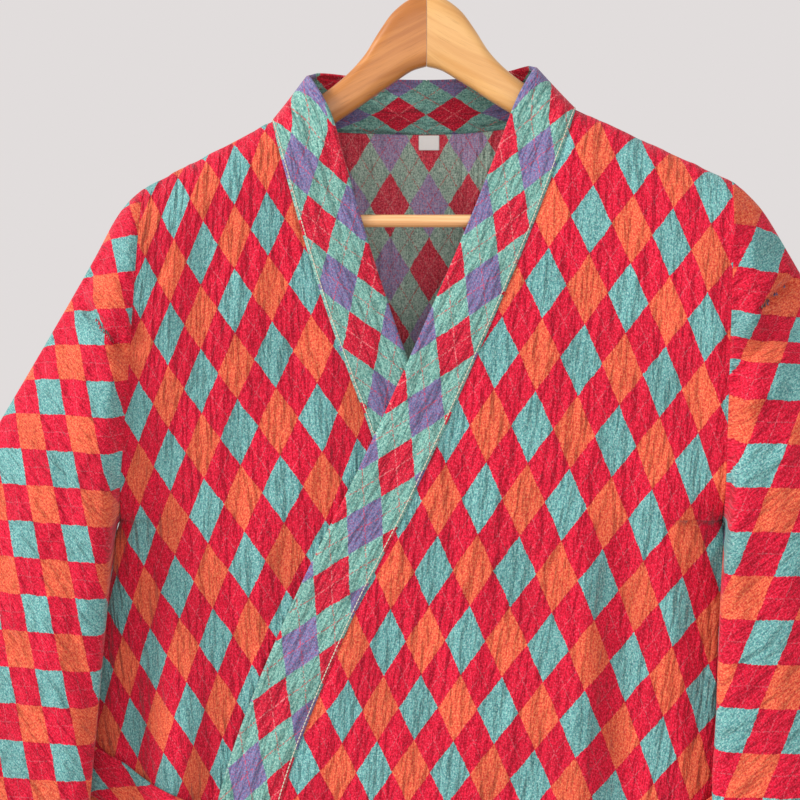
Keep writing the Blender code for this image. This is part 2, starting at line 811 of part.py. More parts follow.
def make_loop(name, look, parent):
    """Belt loop: a narrow strip over the belt, its two feet on the side seam."""
    sign = SHOULDERS[name]["sign"]
    mid_z = belt_side_z(sign)
    foot = CLOTH / 2 + SEAM_GAP + LOOP_THICK / 2
    out = BELT_STAND_OFF + BELT_THICK / 2 + LOOP_ROOM + LOOP_THICK / 2
    reach = BELT_WIDTH / 2 + LOOP_ROOM + LOOP_THICK / 2
    path = (
        (foot, reach + LOOP_FOOT),
        (foot, reach + LOOP_ROOT),
        (foot + 0.0015, reach + 0.0005),
        (out - 0.0006, reach + 0.0003),
        (out, reach - 0.002),
        (out, -reach + 0.002),
        (out - 0.0006, -reach - 0.0003),
        (foot + 0.0015, -reach - 0.0005),
        (foot, -reach - LOOP_ROOT),
        (foot, -reach - LOOP_FOOT),
    )
    rows = []
    for away, rise in path:
        z = mid_z + rise
        x = sign * (half_width(sign, z) + away)
        y = middle_y(x, z)
        rows.append([Vector((x, y + LOOP_WIDTH * c, z)) for c in (-0.5, 0.5)])
    normals = grid_normals(rows)
    if normals[0][0].x * sign < 0:
        normals = [[-n for n in line] for line in normals]
    wall("belt_loop_" + name, rows, normals, LOOP_THICK, look, parent=parent)


def make_tab(look, parent):
    """Bare size tab, hanging from the neck seam on the back's inner side."""
    rows = []
    for k in range(3):
        z = BACK_NECK_Z - TAB_TUCK - TAB_HEIGHT * k / 2
        line = []
        for c in (-0.5, 0.0, 0.5):
            x = TAB_X + TAB_WIDTH * c
            y = back_y(x, z) - CLOTH / 2 - SEAM_GAP - TAB_THICK / 2
            line.append(Vector((x, y, z)))
        rows.append(line)
    wall("size_tab", rows, grid_normals(rows), TAB_THICK, look, parent=parent)


# Hanger

def rounded(value, power):
    """A sine or cosine with its sign kept, whose power squares off or rounds a section."""
    return math.copysign(abs(value) ** power, value)


def close_rings(shape, rings):
    """Faces between neighbouring rings, and one on each end."""
    for ring, following in zip(rings, rings[1:]):
        for i in range(len(ring)):
            k = (i + 1) % len(ring)
            shape.faces.new((ring[i], ring[k], following[k], following[i]))
    shape.faces.new(rings[0])
    shape.faces.new(rings[-1])
    bmesh.ops.recalc_face_normals(shape, faces=shape.faces)


def arm_ring(name, x, rise, height, half_thick):
    """Rounded section of an arm in the plane at x, with its top on the shoulder line."""
    sign = SHOULDERS[name]["sign"]
    top = ridge_z(sign * x) + rise
    centre = Vector((sign * x, middle_y(x, top), top - height / 2))
    ring = []
    power = ARM_SQUARE + ARM_ROUNDER * smooth(x / ARM_ROUNDER_FROM - 1)
    for i in range(ARM_SIDES):
        turn = 2 * math.pi * (i + 0.5) / ARM_SIDES
        y = rounded(math.cos(turn), power) * half_thick
        z = rounded(math.sin(turn), power) * height / 2
        ring.append(centre + Vector((0, y, z)))
    return ring


def make_arm(name, look, parent):
    end = ARM_END_X[name]
    stations = [tuple(row.values()) for row in ARM]
    stations[0] = (SEAM_GAP / 2, *stations[0][1:])
    last_x, last_rise, last_height, last_half = stations[-1]
    widest_turn = math.radians(80)
    for k in range(1, ARM_END_STEPS + 1):
        turn = widest_turn * k / ARM_END_STEPS
        shrink = math.cos(turn)
        x = last_x + (end - last_x) * math.sin(turn) / math.sin(widest_turn)
        drop = last_height * (1 - shrink) / 2
        stations.append((x, last_rise - drop, last_height * shrink, last_half * shrink))
    mesh = bpy.data.meshes.new("hanger_arm_" + name)
    shape = bmesh.new()
    close_rings(shape, [[shape.verts.new(p) for p in arm_ring(name, *station)] for station in stations])
    shape.to_mesh(mesh)
    shape.free()
    arm = place("hanger_arm_" + name, mesh, look, parent)
    socket = make_rod("socket_" + name, SOCKET_LENGTH, BAR_RADIUS + SEAM_GAP, look, parent)
    sign = SHOULDERS[name]["sign"]
    socket.location.x = sign * (BAR_HALF - SOCKET_LENGTH / 2 + SEAM_GAP)
    socket.hide_render = True
    socket.display_type = "WIRE"
    cut = arm.modifiers.new("bar socket", "BOOLEAN")
    cut.object = socket
    cut.operation = "DIFFERENCE"


def make_rod(name, length, radius, look, parent):
    mesh = bpy.data.meshes.new(name)
    shape = bmesh.new()
    bmesh.ops.create_cone(
        shape, cap_ends=True, segments=16, radius1=radius, radius2=radius, depth=length
    )
    shape.to_mesh(mesh)
    shape.free()
    rod = place(name, mesh, look, parent)
    rod.rotation_euler = (0, math.pi / 2, 0)
    rod.location = (0, middle_y(BAR_HALF, SHOULDERS["left"]["tip_z"]), BAR_Z)
    return rod


def make_hook(look, parent):
    """Wire hook: a short shank in the wood's top, then a round bow over the rail."""
    centre_z = HOOK_WIRE - HOOK_RADIUS
    wood_top = ridge_z(0) + ARM[0]["rise"]
    points = [(0.0, wood_top), (0.0, wood_top + HOOK_SHANK / 2), (0.0005, wood_top + HOOK_SHANK)]
    for degree in range(*HOOK_BOW):
        turn = math.radians(degree)
        points.append((HOOK_RADIUS * math.cos(turn), centre_z + HOOK_RADIUS * math.sin(turn)))
    curve = bpy.data.curves.new("hanger_hook", "CURVE")
    curve.dimensions = "3D"
    curve.bevel_depth = HOOK_WIRE
    curve.bevel_resolution = 2
    curve.use_fill_caps = True
    line = curve.splines.new("POLY")
    line.points.add(len(points) - 1)
    for slot, (x, z) in zip(line.points, points):
        slot.co = (x, 0, z, 1)
    curve.materials.append(look)
    hook = bpy.data.objects.new("hanger_hook", curve)
    bpy.context.scene.collection.objects.link(hook)
    hook.parent = parent


def main():
    face = make_look("cloth face", (0.66, 0.02, 0.05), 0.85)
    reverse = make_look("cloth reverse", (0.16, 0.36, 0.31), 0.85)
    white = make_look("tab white", (0.85, 0.85, 0.85), 0.7)
    wood = make_look("maple", (0.78, 0.47, 0.22), 0.38)
    steel = make_look("steel", (0.72, 0.72, 0.72), 0.25, 1.0)
    root = bpy.data.objects.new("robe", None)
    bpy.context.scene.collection.objects.link(root)
    back, back_normals = make_back(face, root)
    for name in ("left", "right"):
        front, front_normals = make_front(name, face, root)
        make_sleeve(name, front, front_normals, back, back_normals, face, root)
        make_band(name, front, front_normals, back, back_normals, reverse, root)
        make_loop(name, face, root)
        make_arm(name, wood, root)
    make_belt(face, root)
    make_tab(white, root)
    make_rod("hanger_bar", 2 * BAR_HALF, BAR_RADIUS, wood, root)
    make_hook(steel, root)


main()
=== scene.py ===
"""Looks of the kimono robe on its wooden hanger.

Each sewn piece of the frame is replaced by a thin two-sided shell of the same form, finer, with
its creases, hems and stitching. Lengths are metres; the wearer's left is +X, the front faces -Y.
"""
import math

import bmesh
import bpy
import numpy as np
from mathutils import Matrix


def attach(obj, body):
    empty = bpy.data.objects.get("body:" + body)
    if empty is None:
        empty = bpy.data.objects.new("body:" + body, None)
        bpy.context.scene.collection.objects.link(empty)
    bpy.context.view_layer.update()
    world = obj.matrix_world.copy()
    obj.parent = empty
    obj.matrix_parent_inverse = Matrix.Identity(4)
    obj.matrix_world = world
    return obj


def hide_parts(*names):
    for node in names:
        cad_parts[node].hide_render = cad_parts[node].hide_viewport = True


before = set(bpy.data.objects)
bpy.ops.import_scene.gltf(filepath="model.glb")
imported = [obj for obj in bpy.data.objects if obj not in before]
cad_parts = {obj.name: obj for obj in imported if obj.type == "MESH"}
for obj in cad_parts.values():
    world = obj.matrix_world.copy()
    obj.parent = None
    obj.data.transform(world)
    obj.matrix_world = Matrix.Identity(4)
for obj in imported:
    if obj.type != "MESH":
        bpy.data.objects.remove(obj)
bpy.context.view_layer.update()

# Cloth sizes, the same as the frame's
CLOTH = 0.002
SEAM_GAP = 0.0003
BAND_WIDTH = 0.046
HEM_Z = -1.275
UNDERARM_Z = -0.478
LAYER_STEP = 0.0050

# Thickness of the shells, and how much of it is left at the seams
PANEL_THICK = 0.0015
BAND_THICK = 0.0025
BELT_SHELL_THICK = 0.0026
SEAM_SHARE = 0.45

# Turned hems and cuffs: their width and the step above them
HEM_TURN = 0.021
HEM_STEP = 0.0005

# Stitches: pitch, length and radius of the thread, and how far they stand clear of the cloth
FINE_STITCH = dict(pitch=0.0034, length=0.0024, radius=0.00030)
BAND_STITCH = dict(pitch=0.0031, length=0.0029, radius=0.00048)
STITCH_LIFT = 0.0001
BAND_STITCH_LIFT = 0.00012
BAND_STITCH_SHARE = 0.24

# Soft wrinkles that run down every panel: height, cell width, cell height
WRINKLES = ((0.0013, 0.034, 0.110), (0.0010, 0.014, 0.048), (0.0006, 0.0085, 0.024))
RIPPLE_CELLS = 61
SEEDS = {"front_left": 31, "front_right": 47, "back": 59, "sleeve_left": 71, "sleeve_right": 83}

# How finely the frame's steps are divided
UPPER_FINE = 6
LOWER_FINE = 9
LOWER_ROWS = 14 * LOWER_FINE
FRONT_COLUMNS = 96
SHOULDER_STEPS = 44
STAND_FINE = 6
BAND_STEPS = 12
SLEEVE_RINGS = 120


def table(columns, *rows):
    """Rows with named columns; the first column is the one that the others are read along."""
    return [dict(zip(columns.split(), row)) for row in rows]


# Shoulders and armholes, one row for each side of the wearer
SHOULDERS = {
    "left": dict(sign=1, neck_x=0.1176, neck_z=-0.1539, tip_x=0.2389, tip_z=-0.2126, underarm_x=0.232),
    "right": dict(sign=-1, neck_x=0.1220, neck_z=-0.1634, tip_x=0.2220, tip_z=-0.2180, underarm_x=0.241),
}
BACK_NECK_Z = -0.1688
RIDGE_ROUND = 0.050
UNDERARM_ROUND = 0.042
UNDERARM_SPREAD = 0.90
UNDERARM_SWELL = 0.003
SWELL_Z = -0.497
SWELL_REACH = 0.016
SIDE_POWER = 5.0
FORWARD = 0.028
FORWARD_AT = 0.230

# Level sections of the body: half widths, depths of front and back, share of the forward set
SECTIONS = table(
    "z left right front back forward",
    (-0.120, 0.2389, 0.2220, 0.021, 0.046, 1.00),
    (-0.210, 0.2389, 0.2220, 0.027, 0.041, 1.00),
    (-0.300, 0.2360, 0.2290, 0.031, 0.034, 0.75),
    (-0.478, 0.2320, 0.2410, 0.034, 0.031, 0.35),
    (-0.510, 0.2400, 0.2495, 0.033, 0.030, 0.31),
    (-0.560, 0.2480, 0.2590, 0.032, 0.030, 0.26),
    (-0.700, 0.2550, 0.2690, 0.033, 0.030, 0.16),
    (-0.850, 0.2610, 0.2730, 0.037, 0.035, 0.08),
    (-1.050, 0.2690, 0.2780, 0.043, 0.042, 0.00),
    (-1.275, 0.2780, 0.2840, 0.048, 0.048, 0.00),
)

# Seam between each front and its half of the neck band, from neck to hem
BAND_SEAMS = {
    "left": table(
        "z x",
        (-0.1539, 0.1176),
        (-0.2500, 0.0810),
        (-0.3420, 0.0416),
        (-0.4545, -0.0094),
        (-0.5490, -0.0565),
        (-0.6490, -0.0990),
        (-0.7200, -0.1210),
        (-0.8200, -0.1400),
        (-1.0000, -0.1530),
        (-1.2750, -0.1580),
    ),
    "right": table(
        "z x",
        (-0.1634, -0.1220),
        (-0.2520, -0.0973),
        (-0.3200, -0.0760),
        (-0.4120, -0.0424),
        (-0.5200, -0.0050),
        (-0.6200, 0.0210),
        (-0.7200, 0.0380),
        (-0.8500, 0.0500),
        (-1.0500, 0.0570),
        (-1.2750, 0.0600),
    ),
}

# How the band stands up behind the neck
STAND = table(
    "share x y z",
    (0.00, 0.000, 0.023, -0.1286),
    (0.30, 0.034, 0.023, -0.1278),
    (0.60, 0.064, 0.021, -0.1240),
    (0.86, 0.081, 0.012, -0.1180),
    (1.00, 0.0838, -0.001, -0.1173),
)
STAND_TURN = 0.034
STAND_FRONT_Y = -0.0212
STAND_SHARES = (0.0, 0.2, 0.4, 0.6, 0.78, 0.91, 1.0)

# Soft vertical folds: place at top and at hem, where it starts, half width, depth (+ is proud)
FOLD_COLUMNS = "x_top x_hem z_top run width depth"
FRONT_FOLDS = table(
    FOLD_COLUMNS,
    (-0.186, -0.232, -0.470, 0.16, 0.017, 0.0075),
    (-0.220, -0.258, -0.440, 0.14, 0.014, -0.0060),
    (0.124, 0.112, -0.420, 0.18, 0.020, 0.0060),
    (0.152, 0.146, -0.380, 0.16, 0.017, -0.0065),
    (0.196, 0.205, -0.400, 0.20, 0.020, 0.0045),
    (0.000, 0.010, -0.820, 0.20, 0.034, 0.0050),
)
BACK_FOLDS = table(
    FOLD_COLUMNS,
    (-0.150, -0.170, -0.380, 0.25, 0.024, 0.0060),
    (-0.090, -0.100, -0.420, 0.25, 0.022, -0.0050),
    (0.060, 0.075, -0.460, 0.25, 0.026, 0.0055),
    (0.140, 0.160, -0.340, 0.25, 0.022, -0.0040),
    (0.190, 0.210, -0.400, 0.25, 0.020, 0.0050),
)

# Sleeves: outer fold, inner fold and half depth at stations along the sleeve
SLEEVE_COLUMNS = "along outer_x outer_z outer_y inner_x inner_z inner_y depth"
SLEEVES = {
    "left": table(
        SLEEVE_COLUMNS,
        (0.00, 0.2389, -0.2126, -0.028, 0.2350, -0.4765, -0.0098, 0.0300),
        (0.08, 0.2500, -0.2215, -0.028, 0.2355, -0.4880, -0.0230, 0.0290),
        (0.16, 0.2640, -0.2370, -0.028, 0.2330, -0.5070, -0.0370, 0.0270),
        (0.25, 0.2810, -0.2650, -0.028, 0.2290, -0.5400, -0.0490, 0.0260),
        (0.45, 0.3250, -0.3410, -0.027, 0.2255, -0.6180, -0.0530, 0.0250),
        (0.70, 0.3990, -0.4690, -0.025, 0.2240, -0.7160, -0.0530, 0.0230),
        (1.00, 0.5050, -0.6560, -0.022, 0.2600, -0.7940, -0.0460, 0.0200),
    ),
    "right": table(
        SLEEVE_COLUMNS,
        (0.00, 0.2220, -0.2180, -0.028, 0.2440, -0.4765, -0.0098, 0.0300),
        (0.08, 0.2340, -0.2290, -0.028, 0.2460, -0.4880, -0.0210, 0.0290),
        (0.16, 0.2450, -0.2440, -0.028, 0.2475, -0.5070, -0.0340, 0.0280),
        (0.25, 0.2610, -0.2740, -0.028, 0.2495, -0.5400, -0.0450, 0.0270),
        (0.45, 0.3060, -0.3520, -0.027, 0.2560, -0.6180, -0.0500, 0.0260),
        (0.70, 0.3800, -0.4770, -0.025, 0.2640, -0.7160, -0.0500, 0.0235),
        (1.00, 0.4870, -0.6590, -0.022, 0.2620, -0.7970, -0.0420, 0.0200),
    ),
}
SLEEVE_BLEND = 0.0416
SLEEVE_LENGTH = 0.50
RING_STEP = 0.0095
CUFF_FROM = 0.957
BACK_CREASE_SHIFT = 0.043

# Belt
BELT_WIDTH = 0.038
BELT_THICK = 0.003
BELT_STAND_OFF = 0.0052
BELT_BACK_Z = -0.668
BELT_LINE = table(
    "x z",
    (-0.260, -0.676),
    (-0.190, -0.7165),
    (-0.100, -0.7560),
    (0.000, -0.7820),
    (0.100, -0.7640),
    (0.190, -0.7320),
    (0.260, -0.6900),
)
KNOT_X = 0.004
KNOT_HALF_WIDTH = 0.021
KNOT_HALF_HEIGHT = 0.024
KNOT_HALF_DEPTH = 0.011
BELT_END_LENGTHS = {"left": 0.300, "right": 0.262}
LOOP_WIDTH = 0.008
LOOP_THICK = 0.0012
LOOP_ROOM = 0.0008

# Hanger
ARM = table(
    "x rise height half_thick",
    (0.000, 0.0335, 0.0550, 0.0125),
    (0.012, 0.0387, 0.0575, 0.0125),
    (0.027, 0.0355, 0.0560, 0.0122),
    (0.038, 0.0261, 0.0480, 0.0118),
    (0.050, 0.0133, 0.0375, 0.0114),
    (0.066, 0.0050, 0.0315, 0.0110),
    (0.090, 0.0000, 0.0295, 0.0106),
    (0.112, -0.0027, 0.0300, 0.0104),
    (0.150, -0.0027, 0.0370, 0.0102),
    (0.180, -0.0027, 0.0490, 0.0100),
    (0.203, -0.0027, 0.0570, 0.0100),
)
ARM_END_X = {"left": 0.225, "right": 0.213}

# Size tab
TAB_WIDTH = 0.016
TAB_HEIGHT = 0.0115
TAB_THICK = 0.0008

# The woven repeat: width and height of one diamond
DIAMOND_W = 0.0318
DIAMOND_H = 0.0526

# Lie of the repeat on each panel: centre of one diamond and the steps along its two edges
WEAVE = {
    "front_left": dict(x=0.1570, z=-0.3069, ax=0.01870, az=0.02318, bx=-0.01265, bz=0.03251),
    "front_right": dict(x=-0.1493, z=-0.3074, ax=0.01269, az=0.03093, bx=-0.01424, bz=0.01966),
    "sleeve_left": dict(x=0.2540, z=-0.4427, ax=0.02914, az=0.0, bx=0.01349, bz=0.03392),
    "sleeve_right": dict(x=-0.2627, z=-0.3349, ax=0.02040, az=-0.00190, bx=0.00573, bz=-0.02872),
    "back": dict(
        x=0.0023, z=-0.1733,
        ax=DIAMOND_W / 2, az=DIAMOND_H / 2, bx=-DIAMOND_W / 2, bz=DIAMOND_H / 2,
    ),
}

# How the hanging cloth bends the repeat on the fronts: shares of a diamond by powers of the way
# from the centre above, in decimetres
BEND_POWERS = ((0, 0), (1, 0), (0, 1), (2, 0), (1, 1), (0, 2), (3, 0), (2, 1), (1, 2), (0, 3))
BEND = {
    "front_left": dict(
        x_reach=(-2.30, 0.65), z_reach=(-3.90, 1.15),
        a=(-0.081, -0.049, 0.157, 0.362, 0.074, 0.096, 0.108, -0.009, 0.037, 0.013),
        b=(-0.035, -0.015, -0.077, 0.158, -0.034, -0.008, -0.075, 0.028, -0.003, 0.005),
    ),
    "front_right": dict(
        x_reach=(-1.00, 0.70), z_reach=(-3.80, 1.05),
        a=(0.030, -0.037, -0.050, -0.043, 0.249, -0.026, 0.327, 0.039, 0.130, -0.001),
        b=(-0.111, 0.076, 0.045, 0.996, -0.608, 0.101, -0.060, 0.175, -0.183, 0.016),
    ),
}

# Ways that the cloth faces
FRONTWARD = (0, -1, 0)
BACKWARD = (0, 1, 0)

# Where the photograph was taken from, and the plane that its scale holds in
EYE = (-0.0212, -2.23, -0.3839)
SCALE_Y = -0.030

# Place of the diamonds' column across each half of the band, as a share from the free edge
BAND_LIE = {
    "left": table(
        "along share",
        (-0.13, 0.62),
        (-0.05, 0.66),
        (0.00, 0.69),
        (0.10, 0.66),
        (0.20, 0.62),
        (0.316, 0.56),
        (0.42, 0.47),
        (0.52, 0.375),
        (0.80, 0.25),
        (1.25, 0.20),
    ),
    "right": table(
        "along share",
        (-0.13, 0.62),
        (-0.03, 0.72),
        (0.09, 0.75),
        (0.19, 0.63),
        (0.26, 0.58),
        (0.60, 0.50),
        (1.25, 0.40),
    ),
}

# How far along the repeat each place of the band is, measured from the front end of the neckline
BAND_PHASE = {
    "left": table(
        "along phase",
        (-0.1420, -0.1315),
        (-0.1195, -0.1052),
        (-0.0970, -0.0789),
        (0.0000, -0.0020),
        (0.1130, 0.1052),
        (0.2210, 0.2104),
        (0.4310, 0.4200),
        (1.3000, 1.2890),
    ),
    "right": table(
        "along phase",
        (-0.1444, -0.1315),
        (-0.1219, -0.1052),
        (-0.0994, -0.0789),
        (-0.0005, 0.0000),
        (0.1500, 0.1591),
        (0.3000, 0.3176),
        (1.3000, 1.3746),
    ),
}
STAND_SQUEEZE = 0.05

# Creases placed on each panel: two ends, half width and depth (+ is proud)
CREASE_COLUMNS = "x0 z0 x1 z1 width depth"
CREASES = {
    "front_left": table(
        CREASE_COLUMNS,
        (0.196, -0.196, 0.222, -0.262, 0.007, -0.0030),
        (0.184, -0.190, 0.205, -0.270, 0.010, 0.0016),
        (0.214, -0.230, 0.226, -0.350, 0.006, 0.0018),
        (0.140, -0.185, 0.150, -0.300, 0.016, 0.0014),
        (0.165, -0.190, 0.178, -0.330, 0.012, -0.0014),
        (0.100, -0.250, 0.092, -0.420, 0.016, 0.0014),
        (0.070, -0.360, 0.060, -0.560, 0.014, -0.0013),
        (0.030, -0.470, 0.020, -0.640, 0.015, 0.0013),
        (-0.030, -0.560, -0.040, -0.720, 0.013, -0.0012),
        (-0.075, -0.640, -0.080, -0.760, 0.015, 0.0012),
        (0.205, -0.480, 0.214, -0.640, 0.010, -0.0016),
        (0.060, -0.860, 0.070, -1.240, 0.020, -0.0026),
        (-0.080, -0.840, -0.090, -1.240, 0.018, 0.0024),
        (0.180, -0.860, 0.190, -1.250, 0.016, -0.0024),
    ),
    "front_right": table(
        CREASE_COLUMNS,
        (-0.150, -0.190, -0.146, -0.330, 0.012, 0.0014),
        (-0.172, -0.200, -0.180, -0.350, 0.010, -0.0016),
        (-0.196, -0.225, -0.206, -0.380, 0.007, 0.0016),
        (-0.120, -0.240, -0.110, -0.420, 0.014, -0.0012),
        (-0.085, -0.330, -0.080, -0.520, 0.013, 0.0012),
        (-0.148, -0.430, -0.152, -0.640, 0.012, -0.0016),
        (-0.110, -0.520, -0.118, -0.700, 0.014, 0.0013),
        (-0.200, -0.840, -0.206, -1.240, 0.016, -0.0024),
    ),
    "back": table(
        CREASE_COLUMNS,
        (-0.196, -0.215, -0.214, -0.330, 0.008, -0.0026),
        (0.200, -0.205, 0.220, -0.320, 0.008, -0.0026),
        (-0.060, -0.200, -0.100, -0.330, 0.014, 0.0018),
        (0.062, -0.200, 0.110, -0.330, 0.014, 0.0018),
        (-0.020, -0.230, -0.030, -0.420, 0.016, -0.0014),
        (0.030, -0.240, 0.036, -0.460, 0.018, 0.0014),
        (0.105, -0.380, 0.100, -0.620, 0.014, -0.0016),
        (-0.190, -0.480, -0.205, -0.640, 0.012, 0.0018),
        (-0.020, -0.720, -0.010, -1.230, 0.022, 0.0030),
        (0.035, -0.740, 0.045, -1.230, 0.016, -0.0026),
        (-0.205, -0.740, -0.225, -1.240, 0.014, -0.0026),
        (0.110, -0.740, 0.118, -1.240, 0.014, 0.0022),
    ),
    "sleeve_left": table(
        CREASE_COLUMNS,
        (0.292, -0.286, 0.254, -0.316, 0.0034, -0.0082),
        (0.292, -0.276, 0.250, -0.302, 0.0060, 0.0040),
        (0.262, -0.310, 0.232, -0.348, 0.0058, 0.0062),
        (0.268, -0.330, 0.236, -0.366, 0.0044, -0.0052),
        (0.272, -0.374, 0.238, -0.396, 0.0032, 0.0040),
        (0.300, -0.360, 0.262, -0.470, 0.0120, 0.0022),
        (0.290, -0.470, 0.262, -0.640, 0.0130, 0.0024),
        (0.262, -0.430, 0.250, -0.600, 0.0100, -0.0026),
        (0.330, -0.430, 0.310, -0.640, 0.0150, -0.0022),
        (0.370, -0.520, 0.340, -0.720, 0.0140, 0.0022),
        (0.256, -0.240, 0.250, -0.290, 0.0050, 0.0018),
    ),
    "sleeve_right": table(
        CREASE_COLUMNS,
        (-0.268, -0.312, -0.236, -0.346, 0.0034, -0.0076),
        (-0.262, -0.302, -0.226, -0.336, 0.0054, 0.0036),
        (-0.272, -0.296, -0.250, -0.270, 0.0030, -0.0026),
        (-0.274, -0.322, -0.246, -0.352, 0.0060, 0.0024),
        (-0.300, -0.350, -0.268, -0.420, 0.0100, 0.0018),
        (-0.262, -0.360, -0.246, -0.450, 0.0100, -0.0020),
        (-0.310, -0.430, -0.286, -0.620, 0.0130, 0.0022),
        (-0.282, -0.470, -0.262, -0.640, 0.0100, -0.0022),
        (-0.350, -0.480, -0.330, -0.680, 0.0150, -0.0022),
        (-0.390, -0.560, -0.350, -0.740, 0.0130, 0.0022),
    ),
}


# Curves read from the short tables above

def read(rows, column, at):
    """Value of a column at places along the first column, on a smooth curve."""
    first = next(iter(rows[0]))
    rows = sorted(rows, key=lambda row: row[first])
    keys = np.array([row[first] for row in rows], float)
    values = np.array([row[column] for row in rows], float)
    last = len(keys) - 1
    index = np.arange(last + 1)
    before = np.maximum(index - 1, 0)
    after = np.minimum(index + 1, last)
    slopes = (values[after] - values[before]) / (keys[after] - keys[before])
    at = np.clip(at, keys[0], keys[-1])
    k = np.clip(np.searchsorted(keys, at) - 1, 0, last - 1)
    step = keys[k + 1] - keys[k]
    s = (at - keys[k]) / step
    return (
        values[k] * (2 * s**3 - 3 * s**2 + 1)
        + values[k + 1] * (3 * s**2 - 2 * s**3)
        + slopes[k] * step * (s**3 - 2 * s**2 + s)
        + slopes[k + 1] * step * (s**3 - s**2)
    )


def smooth(t):
    """From 0 to 1 with level ends."""
    t = np.clip(t, 0.0, 1.0)
    return t * t * (3 - 2 * t)


def bulge(t):
    """Quarter of an ellipse: 0 at the edge, 1 from t = 1 on."""
    t = np.clip(t, 0.0, 1.0)
    return np.sqrt(1 - (1 - t) ** 2)


def unit(vectors):
    """Vectors brought to length 1."""
    return vectors / np.maximum(np.linalg.norm(vectors, axis=-1, keepdims=True), 1e-12)


def by_side(x, key):
    """A value of the shoulder on the side that x lies on."""
    return np.where(np.asarray(x) >= 0, SHOULDERS["left"][key], SHOULDERS["right"][key])


# The body's form

def ridge_z(x):
    """Height of the shoulder line, carried on up to the middle of the neck."""
    fall = (by_side(x, "neck_z") - by_side(x, "tip_z")) / (by_side(x, "tip_x") - by_side(x, "neck_x"))
    return by_side(x, "neck_z") - fall * (np.abs(x) - by_side(x, "neck_x"))


def half_width(x, z):
    """Armhole line down to the underarm, side seam below it."""
    tip_z = by_side(x, "tip_z")
    share = np.clip((tip_z - z) / (tip_z - UNDERARM_Z), 0.0, 1.0)
    upper = by_side(x, "tip_x") + (by_side(x, "underarm_x") - by_side(x, "tip_x")) * share
    lower = np.where(np.asarray(x) >= 0, read(SECTIONS, "left", z), read(SECTIONS, "right", z))
    swell = UNDERARM_SWELL * np.exp(-(((z - SWELL_Z) / SWELL_REACH) ** 2))
    return np.where(np.asarray(z) > UNDERARM_Z, upper, lower) + swell


def middle_y(x, z):
    """The plane between front and back, which the hanger's arms carry forward at the sides."""
    reach = np.minimum(np.abs(x) / FORWARD_AT, 1.1)
    return -FORWARD * read(SECTIONS, "forward", z) * reach**2


def fold_depth(folds, x, z):
    """Sum of the soft vertical folds at places on one face of the body."""
    total = 0.0
    for fold in folds:
        below = fold["z_top"] - z
        centre = fold["x_top"] + (fold["x_hem"] - fold["x_top"]) * below / (fold["z_top"] - HEM_Z)
        across = np.exp(-(((x - centre) / fold["width"]) ** 2))
        total = total + fold["depth"] * smooth(below / fold["run"]) * across
    return total


def body_depth(x, z, face):
    """Distance of the front or back wall from the middle plane."""
    share = np.minimum(np.abs(x) / half_width(x, z), 1.0)
    under = bulge((z - UNDERARM_Z) / (UNDERARM_ROUND + UNDERARM_SPREAD * (1 - share)))
    rounding = np.sqrt(np.maximum(0.0, 1 - share**SIDE_POWER))
    across = under + (1 - under) * rounding
    below = bulge((ridge_z(x) - z) / RIDGE_ROUND)
    folds = FRONT_FOLDS if face == "front" else BACK_FOLDS
    proud = fold_depth(folds, x, z) * smooth((1 - share) / 0.12)
    return (read(SECTIONS, face, z) + proud) * below * across


def front_y(x, z, under_layer=False):
    """Place of the fronts' wall; the under layer steps in beneath the upper one."""
    y = middle_y(x, z) - body_depth(x, z, "front")
    if under_layer:
        top_edge = read(BAND_SEAMS["left"], "x", z) - BAND_WIDTH * 1.1
        y = y + LAYER_STEP * smooth((x - top_edge + 0.045) / 0.036)
    return y


def back_y(x, z):
    """Place of the back's wall."""
    return middle_y(x, z) + body_depth(x, z, "back")


def softened(depth_of, x, z, **options):
    """A wall's place with the turn at the underarm's height eased away from the side."""
    share = np.minimum(np.abs(x) / half_width(x, z), 1.0)
    reach = 0.022 * np.exp(-(((z - UNDERARM_Z) / 0.045) ** 2)) * (1 - share**6)
    above, below = depth_of(x, z + reach, **options), depth_of(x, z - reach, **options)
    return 0.5 * depth_of(x, z, **options) + 0.25 * (above + below)


# Small unevenness of the cloth

def ripple(u, v, seed):
    """Smooth uneven values from -1 to 1 over a plane measured in cells."""
    heights = np.random.default_rng(seed).uniform(-1, 1, (RIPPLE_CELLS, RIPPLE_CELLS))
    u = np.asarray(u) + 19.3
    v = np.asarray(v) + 23.7
    i, j = np.floor(u).astype(int), np.floor(v).astype(int)
    fu, fv = u - i, v - j
    fu, fv = fu * fu * (3 - 2 * fu), fv * fv * (3 - 2 * fv)

    def at(a, b):
        return heights[a % RIPPLE_CELLS, b % RIPPLE_CELLS]

    return (
        at(i, j) * (1 - fu) * (1 - fv) + at(i + 1, j) * fu * (1 - fv)
        + at(i, j + 1) * (1 - fu) * fv + at(i + 1, j + 1) * fu * fv
    )


def crease_height(rows, x, z):
    """Sum of the creases of one panel at places in its plane."""
    total = np.zeros(np.shape(x))
    for row in rows:
        ax, az = row["x1"] - row["x0"], row["z1"] - row["z0"]
        length = math.hypot(ax, az)
        along = ((x - row["x0"]) * ax + (z - row["z0"]) * az) / length**2
        away = ((x - row["x0"]) * az - (z - row["z0"]) * ax) / length
        away = away + 0.12 * length * (along - 0.5) ** 2
        ends = smooth((along + 0.25) / 0.5) * smooth((1.25 - along) / 0.5)
        total += row["depth"] * ends * np.exp(-((np.abs(away) / row["width"]) ** 1.6))
    return total


